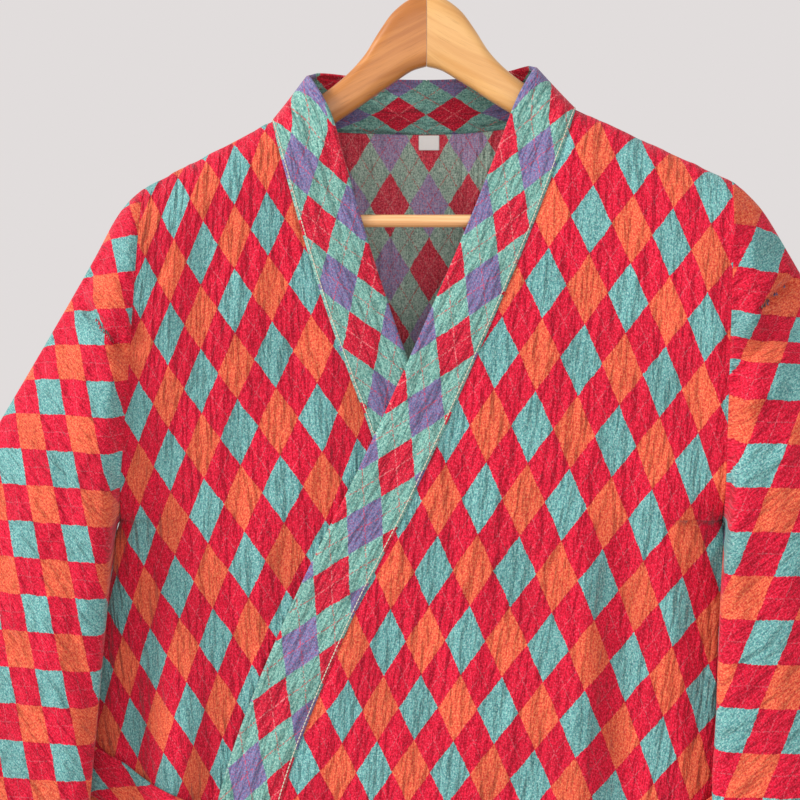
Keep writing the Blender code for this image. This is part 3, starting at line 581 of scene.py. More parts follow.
def relief(panel, x, z):
    """Creases, and soft wrinkles that run down the cloth."""
    wrinkles = sum(
        tall * ripple(x / wide, z / high, SEEDS[panel] + k)
        for k, (tall, wide, high) in enumerate(WRINKLES)
    )
    return crease_height(CREASES[panel], x, z) + wrinkles


def seam_puckers(run, away, seed):
    """Short gathers that stand across a seam and die out away from it."""
    rise = ripple(run / 0.0085, away / 0.040, seed) + 0.5 * ripple(run / 0.0045, away / 0.030, seed + 1)
    return 0.0009 * rise * np.exp(-away / 0.013) * smooth(away / 0.004)


# Shells from grids of points

def grid_normals(grid, wrap=False):
    """Directions square to a grid of points, from its neighbours."""
    down = np.empty_like(grid)
    down[1:-1] = grid[2:] - grid[:-2]
    down[0] = grid[1] - grid[0]
    down[-1] = grid[-1] - grid[-2]
    across = np.empty_like(grid)
    if wrap:
        across = np.roll(grid, -1, axis=1) - np.roll(grid, 1, axis=1)
    else:
        across[:, 1:-1] = grid[:, 2:] - grid[:, :-2]
        across[:, 0] = grid[:, 1] - grid[:, 0]
        across[:, -1] = grid[:, -1] - grid[:, -2]
    return unit(np.cross(across, down))


def turned(normals, sample, way):
    """The normals, turned round together if the sample one points against the way given."""
    return -normals if np.dot(normals[sample], way) < 0 else normals


def shell(name, grid, normals, thickness, uv, looks, wrap=False, rim=0.4):
    """One closed two-sided piece: outer and inner faces, with rounded rims between them."""
    height, count = grid.shape[:2]
    half = np.broadcast_to(np.asarray(thickness) / 2, (height, count))[..., None]
    outer = grid + normals * half
    inner = grid - normals * half
    points = [outer.reshape(-1, 3), inner.reshape(-1, 3)]
    index = np.arange(height * count).reshape(height, count)
    uv_index = np.arange(height * uv.shape[1]).reshape(height, uv.shape[1])
    spans = count if wrap else count - 1
    i = np.arange(spans)
    k = (i + 1) % count
    corners = (index[:-1][:, i], index[:-1][:, k], index[1:][:, k], index[1:][:, i])
    places = (uv_index[:-1][:, i], uv_index[:-1][:, i + 1], uv_index[1:][:, i + 1], uv_index[1:][:, i])
    outer_faces = np.stack([c.ravel() for c in corners], 1)
    outer_uv = np.stack([c.ravel() for c in places], 1)
    inner_faces = outer_faces[:, ::-1] + height * count
    faces = [outer_faces, inner_faces]
    face_uv = [outer_uv, outer_uv[:, ::-1]]
    slots = [np.zeros(len(outer_faces), int), np.ones(len(inner_faces), int)]
    total = 2 * height * count

    def close(line, beyond, uv_line, size):
        """Rounds one edge: a row of points past the cloth's middle, joined to both faces."""
        nonlocal total
        flat = grid.reshape(-1, 3)
        out = unit(flat[line] - flat[beyond])
        points.append(flat[line] + out * size)
        extra = total + np.arange(len(line))
        total += len(line)
        ends = len(line) if wrap and len(line) == count and len(uv_line) > len(line) else len(line) - 1
        a = np.arange(ends)
        b = (a + 1) % len(line)
        c = a + 1
        faces.append(np.stack([line[a], line[b], extra[b], extra[a]], 1))
        faces.append(np.stack([extra[a], extra[b], line[b] + height * count, line[a] + height * count], 1))
        strip = np.stack([uv_line[a], uv_line[c], uv_line[c], uv_line[a]], 1)
        face_uv.extend([strip, strip])
        slots.extend([np.zeros(ends, int), np.zeros(ends, int)])

    size = float(np.mean(thickness)) * rim
    close(index[0], index[1], uv_index[0], size)
    close(index[-1], index[-2], uv_index[-1], size)
    if not wrap:
        close(index[:, 0], index[:, 1], uv_index[:, 0], size)
        close(index[:, -1], index[:, -2], uv_index[:, -1], size)
    points = np.concatenate(points)
    faces = np.concatenate(faces)
    face_uv = np.concatenate(face_uv)
    slots = np.concatenate(slots)
    mesh = bpy.data.meshes.new(name)
    mesh.from_pydata(points.tolist(), [], faces.tolist())
    layer = mesh.uv_layers.new(name="cloth")
    flat_uv = uv.reshape(-1, 2)[face_uv.ravel()]
    layer.data.foreach_set("uv", flat_uv.astype(np.float32).ravel())
    mesh.polygons.foreach_set("material_index", slots.astype(np.int32))
    for look in looks:
        mesh.materials.append(look)
    return place(name, mesh)


def tube_faces(rings, sides):
    """Four-sided faces between rings of points, each ring closed on itself."""
    faces = []
    for j in range(rings - 1):
        for i in range(sides):
            k = (i + 1) % sides
            faces.append((j * sides + i, j * sides + k, (j + 1) * sides + k, (j + 1) * sides + i))
    return faces


def place(name, mesh, tidy=True):
    """Puts a mesh in the scene with its faces turned outward and smooth."""
    if tidy:
        shape = bmesh.new()
        shape.from_mesh(mesh)
        bmesh.ops.remove_doubles(shape, verts=shape.verts, dist=1e-7)
        bmesh.ops.recalc_face_normals(shape, faces=shape.faces)
        shape.to_mesh(mesh)
        shape.free()
    mesh.shade_smooth()
    thing = bpy.data.objects.new(name, mesh)
    bpy.context.scene.collection.objects.link(thing)
    return thing


def dress(piece, node):
    """The piece takes a CAD node's place."""
    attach(piece, "root")
    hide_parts(node)
    return piece


# Materials

# The weave's unevenness: how far the diamonds' edges stray, fleck shares, tones of painted fold shade, depths
# of relief
EDGE_DRIFT = 0.0026
EDGE_JITTER = 0.0016
FLECK_SHARE = 0.55
PATCH_FOLD_SHADE = 0.14
CLOUD_FOLD_SHADE = 0.34
LEAST_FOLD_SHADE = 0.76
CRINKLE_DEPTH = 0.0062
THREAD_DEPTH = 0.0003


def srgb(red, green, blue):
    """Linear colour of a colour given from 0 to 255 as a screen shows it."""
    shares = [value / 255 for value in (red, green, blue)]
    return tuple(c / 12.92 if c <= 0.04045 else ((c + 0.055) / 1.055) ** 2.4 for c in shares) + (1.0,)


class Graph:
    """A material's nodes, made by short calls."""

    def __init__(self, name):
        self.look = bpy.data.materials.new(name)
        self.look.use_nodes = True
        self.tree = self.look.node_tree
        self.tree.nodes.clear()
        self.output = self.tree.nodes.new("ShaderNodeOutputMaterial")

    def node(self, kind, **settings):
        node = self.tree.nodes.new(kind)
        for key, value in settings.items():
            setattr(node, key, value)
        return node

    def put(self, socket, value):
        if isinstance(value, bpy.types.NodeSocket):
            self.tree.links.new(value, socket)
        else:
            socket.default_value = value

    def math(self, operation, a, b=None):
        node = self.node("ShaderNodeMath", operation=operation)
        self.put(node.inputs[0], a)
        if b is not None:
            self.put(node.inputs[1], b)
        return node.outputs[0]

    def add(self, a, b):
        return self.math("ADD", a, b)

    def less(self, a, b):
        return self.math("SUBTRACT", a, b)

    def times(self, a, b):
        return self.math("MULTIPLY", a, b)

    def places(self, uv_map=None):
        """The three coordinates of the object, or of one of its maps."""
        if uv_map:
            where = self.node("ShaderNodeUVMap", uv_map=uv_map).outputs[0]
        else:
            where = self.node("ShaderNodeTexCoord").outputs["Object"]
        parts = self.node("ShaderNodeSeparateXYZ")
        self.put(parts.inputs[0], where)
        return parts.outputs[0], parts.outputs[1], parts.outputs[2]

    def mix(self, share, a, b):
        node = self.node("ShaderNodeMix", data_type="RGBA", blend_type="MIX")
        self.put(node.inputs[0], share)
        self.put(node.inputs[6], a)
        self.put(node.inputs[7], b)
        return node.outputs[2]

    def step(self, value, low, high, start=0.0, end=1.0):
        node = self.node("ShaderNodeMapRange", interpolation_type="SMOOTHSTEP")
        for socket, number in zip(node.inputs, (value, low, high, start, end)):
            self.put(socket, number)
        return node.outputs[0]

    def vector(self, x, y, z=0.0):
        node = self.node("ShaderNodeCombineXYZ")
        for socket, number in zip(node.inputs, (x, y, z)):
            self.put(socket, number)
        return node.outputs[0]

    def noise(self, x, y, x_scale, y_scale, detail=2.0, shift=0.0):
        """Noise stretched by its own scale along each way of the cloth."""
        node = self.node("ShaderNodeTexNoise", noise_dimensions="2D")
        place_at = self.vector(self.times(x, x_scale), self.times(y, y_scale))
        if shift:
            moved = self.node("ShaderNodeVectorMath", operation="ADD")
            self.put(moved.inputs[0], place_at)
            moved.inputs[1].default_value = (shift, shift * 1.7, 0.0)
            place_at = moved.outputs[0]
        self.put(node.inputs["Vector"], place_at)
        node.inputs["Scale"].default_value = 1.0
        node.inputs["Detail"].default_value = detail
        return node.outputs["Fac"]

    def bump(self, height, distance, strength, normal=None):
        node = self.node("ShaderNodeBump")
        node.inputs["Strength"].default_value = strength
        node.inputs["Distance"].default_value = distance
        self.put(node.inputs["Height"], height)
        if normal is not None:
            self.put(node.inputs["Normal"], normal)
        return node.outputs[0]

    def shader(self, colour, roughness, normal=None, **constants):
        node = self.node("ShaderNodeBsdfPrincipled")
        self.put(node.inputs["Base Color"], colour)
        self.put(node.inputs["Roughness"], roughness)
        if normal is not None:
            self.put(node.inputs["Normal"], normal)
        for key, value in constants.items():
            node.inputs[key.replace("_", " ")].default_value = value
        self.tree.links.new(node.outputs[0], self.output.inputs["Surface"])
        return self.look


def cloth_look(name, deep, light, lines, pale, dark, line_share, line_width):
    """Woven diamonds: ground, the two kinds of diamond, thin lines through their middles."""
    g = Graph(name)
    s, t, _ = g.places("cloth")
    drift = g.noise(s, t, 60.0, 60.0, 2.0)
    jitter = g.noise(s, t, 1200.0, 330.0, 1.0, 5.0)
    wander = g.add(g.times(g.less(drift, 0.5), EDGE_DRIFT), g.times(g.less(jitter, 0.5), EDGE_JITTER))
    across = g.math("DIVIDE", g.add(s, wander), DIAMOND_W)
    upward = g.math("DIVIDE", t, DIAMOND_H)
    a, b = g.add(across, upward), g.less(upward, across)
    cell_a, cell_b = g.math("ROUND", a), g.math("ROUND", b)
    odd_a, odd_b = g.math("PINGPONG", cell_a, 1.0), g.math("PINGPONG", cell_b, 1.0)
    both_odd = g.times(odd_a, odd_b)
    both_even = g.times(g.less(1.0, odd_a), g.less(1.0, odd_b))
    away_a, away_b = g.math("ABSOLUTE", g.less(a, cell_a)), g.math("ABSOLUTE", g.less(b, cell_b))
    dashes = g.step(g.noise(s, t, 620.0, 620.0, 1.0, 9.0), 0.40, 0.55)
    near = g.math("MINIMUM", away_a, away_b)
    line = g.times(g.step(near, line_width * 0.4, line_width * 1.6, 1.0, 0.0), dashes)

    # Yarns: broad light and dark ones, then pale and dark flecks
    warp = g.noise(s, t, 1000.0, 240.0, 2.0, 3.0)
    weft = g.noise(s, t, 300.0, 1000.0, 2.0, 7.0)
    blots = g.noise(s, t, 700.0, 620.0, 2.0, 11.0)
    yarn = g.add(g.add(g.times(warp, 0.38), g.times(weft, 0.26)), g.times(blots, 0.36))
    yarn = g.step(yarn, 0.38, 0.62)
    pale_share = g.step(g.noise(s, t, 1050.0, 640.0, 2.0, 23.0), 0.57, 0.67, 0.0, FLECK_SHARE)
    dark_share = g.step(g.noise(s, t, 980.0, 600.0, 2.0, 29.0), 0.55, 0.66, 0.0, FLECK_SHARE)

    def three(colours):
        """The colours of ground, first diamond and second diamond, each in its place."""
        base = g.mix(both_even, srgb(*colours[0]), srgb(*colours[1]))
        return g.mix(both_odd, base, srgb(*colours[2]))

    colour = g.mix(yarn, three(deep), three(light))
    colour = g.mix(pale_share, colour, three(pale))
    colour = g.mix(dark_share, colour, three(dark))
    colour = g.mix(g.times(line, line_share), colour, three(lines))

    # Painted light and shade of soft folds, from diamond to diamond and in broad clouds
    diamond_fold_shade = g.node("ShaderNodeTexWhiteNoise", noise_dimensions="2D")
    g.put(diamond_fold_shade.inputs["Vector"], g.vector(cell_a, cell_b))
    fold_shade_clouds = g.noise(s, t, 26.0, 11.0, 2.0, 13.0)
    fold_shade = g.add(g.add(g.times(diamond_fold_shade.outputs["Value"], PATCH_FOLD_SHADE), g.times(fold_shade_clouds, CLOUD_FOLD_SHADE)), LEAST_FOLD_SHADE)
    fold_shaded = g.node("ShaderNodeVectorMath", operation="SCALE")
    g.put(fold_shaded.inputs[0], colour)
    g.put(fold_shaded.inputs["Scale"], fold_shade)

    # Crinkle of the washed cotton, and the threads on it
    crinkle = g.noise(s, t, 125.0, 28.0, 1.5, 17.0)
    gather = g.noise(s, t, 280.0, 70.0, 1.5, 19.0)
    pucker = g.noise(s, t, 80.0, 52.0, 1.0, 21.0)
    height = g.add(g.add(crinkle, g.times(pucker, 0.6)), g.times(gather, 0.32))
    normal = g.bump(g.add(warp, weft), THREAD_DEPTH, 0.6, g.bump(height, CRINKLE_DEPTH, 0.9))
    return g.shader(
        fold_shaded.outputs[0], 0.88, normal,
        Sheen_Weight=0.14, Sheen_Roughness=0.45, Specular_IOR_Level=0.2,
    )


def thread_look(name, colour):
    """Twisted sewing thread."""
    g = Graph(name)
    x, y, z = g.places()
    twist = g.noise(x, z, 3000.0, 3000.0, 1.0)
    tint = g.mix(twist, srgb(*[c * 0.78 for c in colour]), srgb(*colour))
    return g.shader(tint, 0.7, g.bump(twist, 0.0001, 0.5), Sheen_Weight=0.2)


def tape_look():
    """White ribbed tape."""
    g = Graph("white tape")
    s, t, _ = g.places("cloth")
    ribs = g.noise(s, t, 300.0, 4200.0, 1.0)
    tint = g.mix(ribs, srgb(246, 246, 244), srgb(254, 254, 252))
    return g.shader(tint, 0.55, g.bump(ribs, 0.00012, 0.6), Sheen_Weight=0.15)


def wood_look(name, deep, light):
    """Varnished wood whose grain follows the arm's own map."""
    g = Graph(name)
    u, v, _ = g.places("grain")
    v_bent = g.add(v, g.times(g.noise(u, v, 9.0, 22.0, 2.0), 0.012))
    figure = g.noise(u, v_bent, 7.0, 150.0, 4.0, 2.0)
    pores = g.noise(u, v_bent, 60.0, 1500.0, 2.0, 6.0)
    broad = g.noise(u, v, 12.0, 30.0, 1.0, 8.0)
    share = g.add(g.times(figure, 0.7), g.times(broad, 0.3))
    colour = g.mix(g.step(share, 0.34, 0.66), srgb(*deep), srgb(*light))
    flecks = g.step(pores, 0.60, 0.78, 0.0, 0.35)
    colour = g.mix(flecks, colour, srgb(*[c * 0.80 for c in deep]))
    rough = g.step(pores, 0.2, 0.8, 0.34, 0.46)
    normal = g.bump(pores, 0.00008, 0.35)
    return g.shader(colour, rough, normal, Coat_Weight=0.3, Coat_Roughness=0.22)


def rod_wood_look(name, deep, light):
    """The same wood on a piece whose grain runs along X."""
    g = Graph(name)
    x, y, z = g.places()
    around = g.add(y, z)
    figure = g.noise(x, around, 8.0, 300.0, 3.0)
    pores = g.noise(x, around, 60.0, 1800.0, 2.0, 6.0)
    colour = g.mix(g.step(figure, 0.34, 0.66), srgb(*deep), srgb(*light))
    return g.shader(
        colour, g.step(pores, 0.2, 0.8, 0.38, 0.5), g.bump(pores, 0.00008, 0.35), Coat_Weight=0.3
    )


def steel_look():
    """Polished wire with faint wear."""
    g = Graph("polished wire")
    x, y, z = g.places()
    wear = g.noise(x, z, 900.0, 900.0, 3.0)
    tint = g.mix(wear, srgb(196, 197, 200), srgb(224, 225, 227))
    return g.shader(tint, g.step(wear, 0.2, 0.8, 0.14, 0.30), g.bump(wear, 0.00004, 0.3), Metallic=1.0)


def plain_look(name, light):
    """Plain matt paint, a little cloudy."""
    g = Graph(name)
    x, y, z = g.places()
    cloudy = g.noise(x, z, 1.5, 1.5, 1.0)
    tint = g.mix(cloudy, srgb(*[c - 3 for c in light]), srgb(*light))
    return g.shader(tint, 0.9)


# Yarn colours, each for ground, first diamond and second diamond
FACE = dict(
    deep=((168, 4, 34), (70, 132, 134), (198, 60, 46)),
    light=((230, 26, 62), (124, 184, 178), (234, 114, 76)),
    lines=((196, 132, 140), (66, 96, 108), (170, 70, 66)),
    pale=((240, 78, 104), (192, 220, 214), (240, 156, 112)),
    dark=((146, 4, 30), (66, 104, 124), (196, 36, 44)),
    line_share=0.36, line_width=0.011,
)
REVERSE = dict(
    deep=((80, 138, 130), (172, 10, 40), (88, 92, 138)),
    light=((138, 190, 176), (224, 36, 64), (126, 126, 168)),
    lines=((196, 62, 66), (230, 140, 140), (206, 60, 84)),
    pale=((190, 216, 202), (236, 104, 116), (172, 148, 184)),
    dark=((62, 100, 108), (122, 14, 44), (164, 56, 96)),
    line_share=0.72, line_width=0.016,
)
# Painted shade: the reverse recoloured paler and greyer for the inside of the back only, for the look of that
# shaded inside; the cloth there is the same reverse
INSIDE_PAINTED_SHADE = dict(
    REVERSE,
    deep=((126, 160, 144), (206, 38, 60), (134, 122, 166)),
    light=((190, 212, 196), (238, 84, 100), (180, 168, 200)),
    pale=((222, 232, 220), (244, 150, 152), (214, 186, 210)),
    dark=((112, 104, 106), (150, 40, 66), (208, 72, 100)),
)

face_look = cloth_look("cloth face", **FACE)
reverse_look = cloth_look("cloth reverse", **REVERSE)
back_inside_painted_shade_look = cloth_look("cloth reverse inside painted shade", **INSIDE_PAINTED_SHADE)
pale_thread = thread_look("pale thread", (226, 220, 196))
red_thread = thread_look("red thread", (196, 20, 44))
white_tape = tape_look()
# The two arms' maples differ partly as two pieces of wood and partly by painted shade: the right arm's
# colours are made darker for shade
wood_left_look = wood_look("maple of the left arm", (214, 156, 88), (230, 178, 110))
right_arm_wood_and_painted_shade_look = wood_look("maple of the right arm with painted shade", (176, 106, 44), (204, 134, 66))
rod_look = rod_wood_look("maple rod", (224, 162, 104), (244, 198, 142))
wire_look = steel_look()


# Lie of the cloth's repeat

def lay(panel, x, z):
    """Cloth coordinates of places on a panel laid flat."""
    weave = WEAVE[panel]
    dx, dz = x - weave["x"], z - weave["z"]
    size = weave["ax"] * weave["bz"] - weave["az"] * weave["bx"]
    a = (dx * weave["bz"] - dz * weave["bx"]) / size
    b = (dz * weave["ax"] - dx * weave["az"]) / size
    if panel in BEND:
        bend = BEND[panel]
        u, v = np.clip(dx / 0.1, *bend["x_reach"]), np.clip(dz / 0.1, *bend["z_reach"])
        a = a + sum(share * u**i * v**j for share, (i, j) in zip(bend["a"], BEND_POWERS))
        b = b + sum(share * u**i * v**j for share, (i, j) in zip(bend["b"], BEND_POWERS))
    if panel == "sleeve_left":
        b = b + 1.06 * smooth((z + 0.3746) / 0.050)
    return np.stack([DIAMOND_W * (a - b) / 2, DIAMOND_H * (a + b) / 2], -1)


def as_seen(grid, turn_column, turn_row):
    """Places on a front as seen from EYE, carried on by the cloth's own length where it turns away."""
    nearer = (SCALE_Y - EYE[1]) / (grid[..., 1] - EYE[1])
    x = EYE[0] + (grid[..., 0] - EYE[0]) * nearer
    z = EYE[2] + (grid[..., 2] - EYE[2]) * nearer
    along_x, along_z = unfold(grid, turn_column, turn_row)
    beyond_x, beyond_z = along_x - grid[..., 0], along_z - grid[..., 2]
    x[:, turn_column:] += beyond_x[:, turn_column:]
    z[:turn_row] += beyond_z[:turn_row]
    return x, z


def unfold(grid, column, row):
    """Places on the cloth laid flat, measured from one column and one row of the grid."""
    steps = np.linalg.norm(np.diff(grid, axis=1)[..., :2], axis=-1) * np.sign(np.diff(grid[..., 0], axis=1))
    x = np.concatenate([np.zeros((len(grid), 1)), np.cumsum(steps, 1)], 1)
    x = x - x[:, column:column + 1] + grid[:, column:column + 1, 0]
    drops = -np.linalg.norm(np.diff(grid, axis=0)[..., 1:], axis=-1)
    z = np.concatenate([np.zeros((1, grid.shape[1])), np.cumsum(drops, 0)], 0)
    z = z - z[row:row + 1] + grid[row:row + 1, :, 2]
    return x, z


# Rows shared by back, fronts, band and sleeves

def armhole_steps():
    """Shares of the way down an armhole, finer where it turns."""
    depth = SHOULDERS["left"]["tip_z"] - UNDERARM_Z
    top = [RIDGE_ROUND * (1 - math.cos(k * math.pi / 8)) for k in range(5)]
    low = [depth - UNDERARM_ROUND * (1 - math.sin(k * math.pi / 8)) for k in range(5)]
    middle = [top[-1] + (low[0] - top[-1]) * k / 5 for k in range(1, 5)]
    steps = np.array(top + middle + low) / depth
    fine = np.linspace(0, len(steps) - 1, (len(steps) - 1) * UPPER_FINE + 1)
    return np.interp(fine, np.arange(len(steps)), steps)


ARMHOLE = armhole_steps()
UNDERARM_ROW = len(ARMHOLE) - 1
ROW_COUNT = UNDERARM_ROW + LOWER_ROWS + 1


def column_z(top_z):
    """Heights down columns that start at top_z, from shoulder to hem."""
    top_z = np.atleast_1d(top_z)
    upper = top_z + (UNDERARM_Z - top_z) * ARMHOLE[:, None]
    lower = UNDERARM_Z + (HEM_Z - UNDERARM_Z) * np.arange(1, LOWER_ROWS + 1)[:, None] / LOWER_ROWS
    return np.concatenate([upper, np.broadcast_to(lower, (LOWER_ROWS, len(top_z)))])


def seam_normals(grid, normals, side, column):
    """Shoulder and side edges share one direction on front and back."""
    sign = side["sign"]
    fall = (side["neck_z"] - side["tip_z"]) / (side["tip_x"] - side["neck_x"])
    ridge = unit(np.array([sign * fall, 0, 1]))
    top = (np.abs(grid[0, :, 0]) >= side["neck_x"] - 0.001) & (grid[0, :, 0] * sign > 0)
    normals[0, top] = ridge
    low = grid[UNDERARM_ROW:, column]
    run = np.gradient(low, axis=0)
    normals[UNDERARM_ROW:, column] = unit(np.stack([-run[:, 2] * sign, 0 * run[:, 0], run[:, 0] * sign], 1))


def seam_fade(grid, edges, reach=0.016):
    """0 on the named edges of a grid, 1 away from them."""
    height, count = grid.shape[:2]
    fade = np.ones((height, count))
    for edge in edges:
        if edge in ("top", "hem"):
            line = grid[0] if edge == "top" else grid[-1]
            away = np.linalg.norm(grid - line[None], axis=-1)
        else:
            line = grid[:, 0] if edge == "start" else grid[:, -1]
            away = np.linalg.norm(grid - line[:, None], axis=-1)
        fade = fade * smooth(away / reach)
    return fade


def clear_of_hanger(z):
    """Little relief where the cloth lies on the hanger's arms."""
    return 0.25 + 0.75 * smooth((-0.235 - z) / 0.07)


def pinched(grid, edges, thickness, reach=0.006):
    """Thickness that thins toward seams, which leaves a soft groove."""
    return thickness * (SEAM_SHARE + (1 - SEAM_SHARE) * seam_fade(grid, edges, reach))


# Fronts

def make_front(name):
    """One front, from the band's seam to the side and from shoulder to hem."""
    side = SHOULDERS[name]
    sign = side["sign"]
    inner_z = column_z(side["neck_z"])
    outer_z = column_z(side["tip_z"])
    inner_x = read(BAND_SEAMS[name], "x", inner_z)
    outer_x = sign * half_width(sign, outer_z)
    s = np.arange(FRONT_COLUMNS + 1)[None] / FRONT_COLUMNS
    s = 0.15 * s + 0.85 * np.sin(s * np.pi / 2)
    x = inner_x + (outer_x - inner_x) * s
    z = inner_z + (outer_z - inner_z) * s
    y = softened(front_y, x, z, under_layer=name == "right")
    y[0] = middle_y(x[0], z[0]) - SEAM_GAP / 2
    y[UNDERARM_ROW:, -1] = middle_y(x[UNDERARM_ROW:, -1], z[UNDERARM_ROW:, -1]) - SEAM_GAP / 2
    grid = np.stack([x, y, z], -1)
    normals = turned(grid_normals(grid), (60, 20), FRONTWARD)
    seam_normals(grid, normals, side, -1)
    panel = "front_" + name
    turn_row = int(np.argmax(inner_z[:, 0] < side["neck_z"] - 0.020))
    flat_x, flat_z = as_seen(grid, int(np.argmax(s[0] > 0.93)), turn_row)
    uv = lay(panel, flat_x, flat_z)
    fade = seam_fade(grid, ("top", "start", "end")) * clear_of_hanger(z)
    height = relief(panel, x, z) * fade
    to_end = np.linalg.norm(grid - grid[:, -1:], axis=-1)
    to_band = np.linalg.norm(grid - grid[:, :1], axis=-1)
    to_top = np.linalg.norm(grid - grid[:1], axis=-1)
    height = height + seam_puckers(z, to_end, 35) + seam_puckers(x, to_top, 37)
    height = height + 0.7 * seam_puckers(z, to_band, 39) - 0.0007 * np.exp(-((to_band / 0.004) ** 2))
    height = height + hem_step(z)
    shaped = grid + normals * height[..., None]
    thick = pinched(grid, ("top", "start", "end"), PANEL_THICK)
    piece = shell(panel, shaped, normals, thick, uv, (face_look, reverse_look))
    dress(piece, panel)
    return grid, normals, piece, shaped


def hem_step(z):
    """The turned hem is a little thicker than the cloth above it."""
    return HEM_STEP * smooth((HEM_Z + HEM_TURN + 0.001 - z) / 0.002)


# Back

def back_columns():
    """Shares across the back from right to left, and how many lie under the band."""
    shares = []
    stand = np.interp(
        np.linspace(0, len(STAND_SHARES) - 1, (len(STAND_SHARES) - 1) * STAND_FINE + 1),
        np.arange(len(STAND_SHARES)), STAND_SHARES,
    )[:-1]
    for name in ("right", "left"):
        side = SHOULDERS[name]
        neck = side["neck_x"] / side["tip_x"]
        steps = np.arange(SHOULDER_STEPS + 1) / SHOULDER_STEPS
        half = np.concatenate([neck * stand, neck + (1 - neck) * np.sin(steps * np.pi / 2)])
        shares.append(half * side["sign"])
    right, left = shares
    return np.concatenate([right[:0:-1], left]), len(stand)


def back_top(x):
    """Top edge of the back: the neckline, then the shoulder line."""
    share = np.abs(x) / by_side(x, "neck_x")
    curve = BACK_NECK_Z + (by_side(x, "neck_z") - BACK_NECK_Z) * share**2
    return np.where(share >= 1, ridge_z(x), curve)


def make_back():
    """The back, with its neckline cut out and its hem turned."""
    columns, stand_count = back_columns()
    tips = by_side(columns, "tip_x")
    z = column_z(back_top(columns * tips))
    outer_z = column_z(by_side(columns, "tip_z"))
    x = columns * half_width(np.broadcast_to(columns, outer_z.shape), outer_z)
    y = softened(back_y, x, z)
    seam = np.abs(x[0]) >= by_side(x[0], "neck_x") - 0.0001
    y[0, seam] = middle_y(x[0, seam], z[0, seam]) + SEAM_GAP / 2
    for column in (0, -1):
        low = slice(UNDERARM_ROW, None)
        y[low, column] = middle_y(x[low, column], z[low, column]) + SEAM_GAP / 2
    grid = np.stack([x, y, z], -1)
    normals = turned(grid_normals(grid), (60, 20), BACKWARD)
    seam_normals(grid, normals, SHOULDERS["right"], 0)
    seam_normals(grid, normals, SHOULDERS["left"], -1)
    flat_x, flat_z = unfold(grid, len(columns) // 2, UNDERARM_ROW)
    uv = lay("back", flat_x, flat_z)
    fade = seam_fade(grid, ("top", "start", "end")) * clear_of_hanger(z)
    height = relief("back", x, z) * fade + hem_step(z)
    shaped = grid + normals * height[..., None]
    thick = pinched(grid, ("top", "start", "end"), PANEL_THICK)
    piece = shell("back", shaped, normals, thick, uv, (face_look, back_inside_painted_shade_look))
    dress(piece, "back")
    return grid, normals, stand_count, piece, shaped


# Sleeves

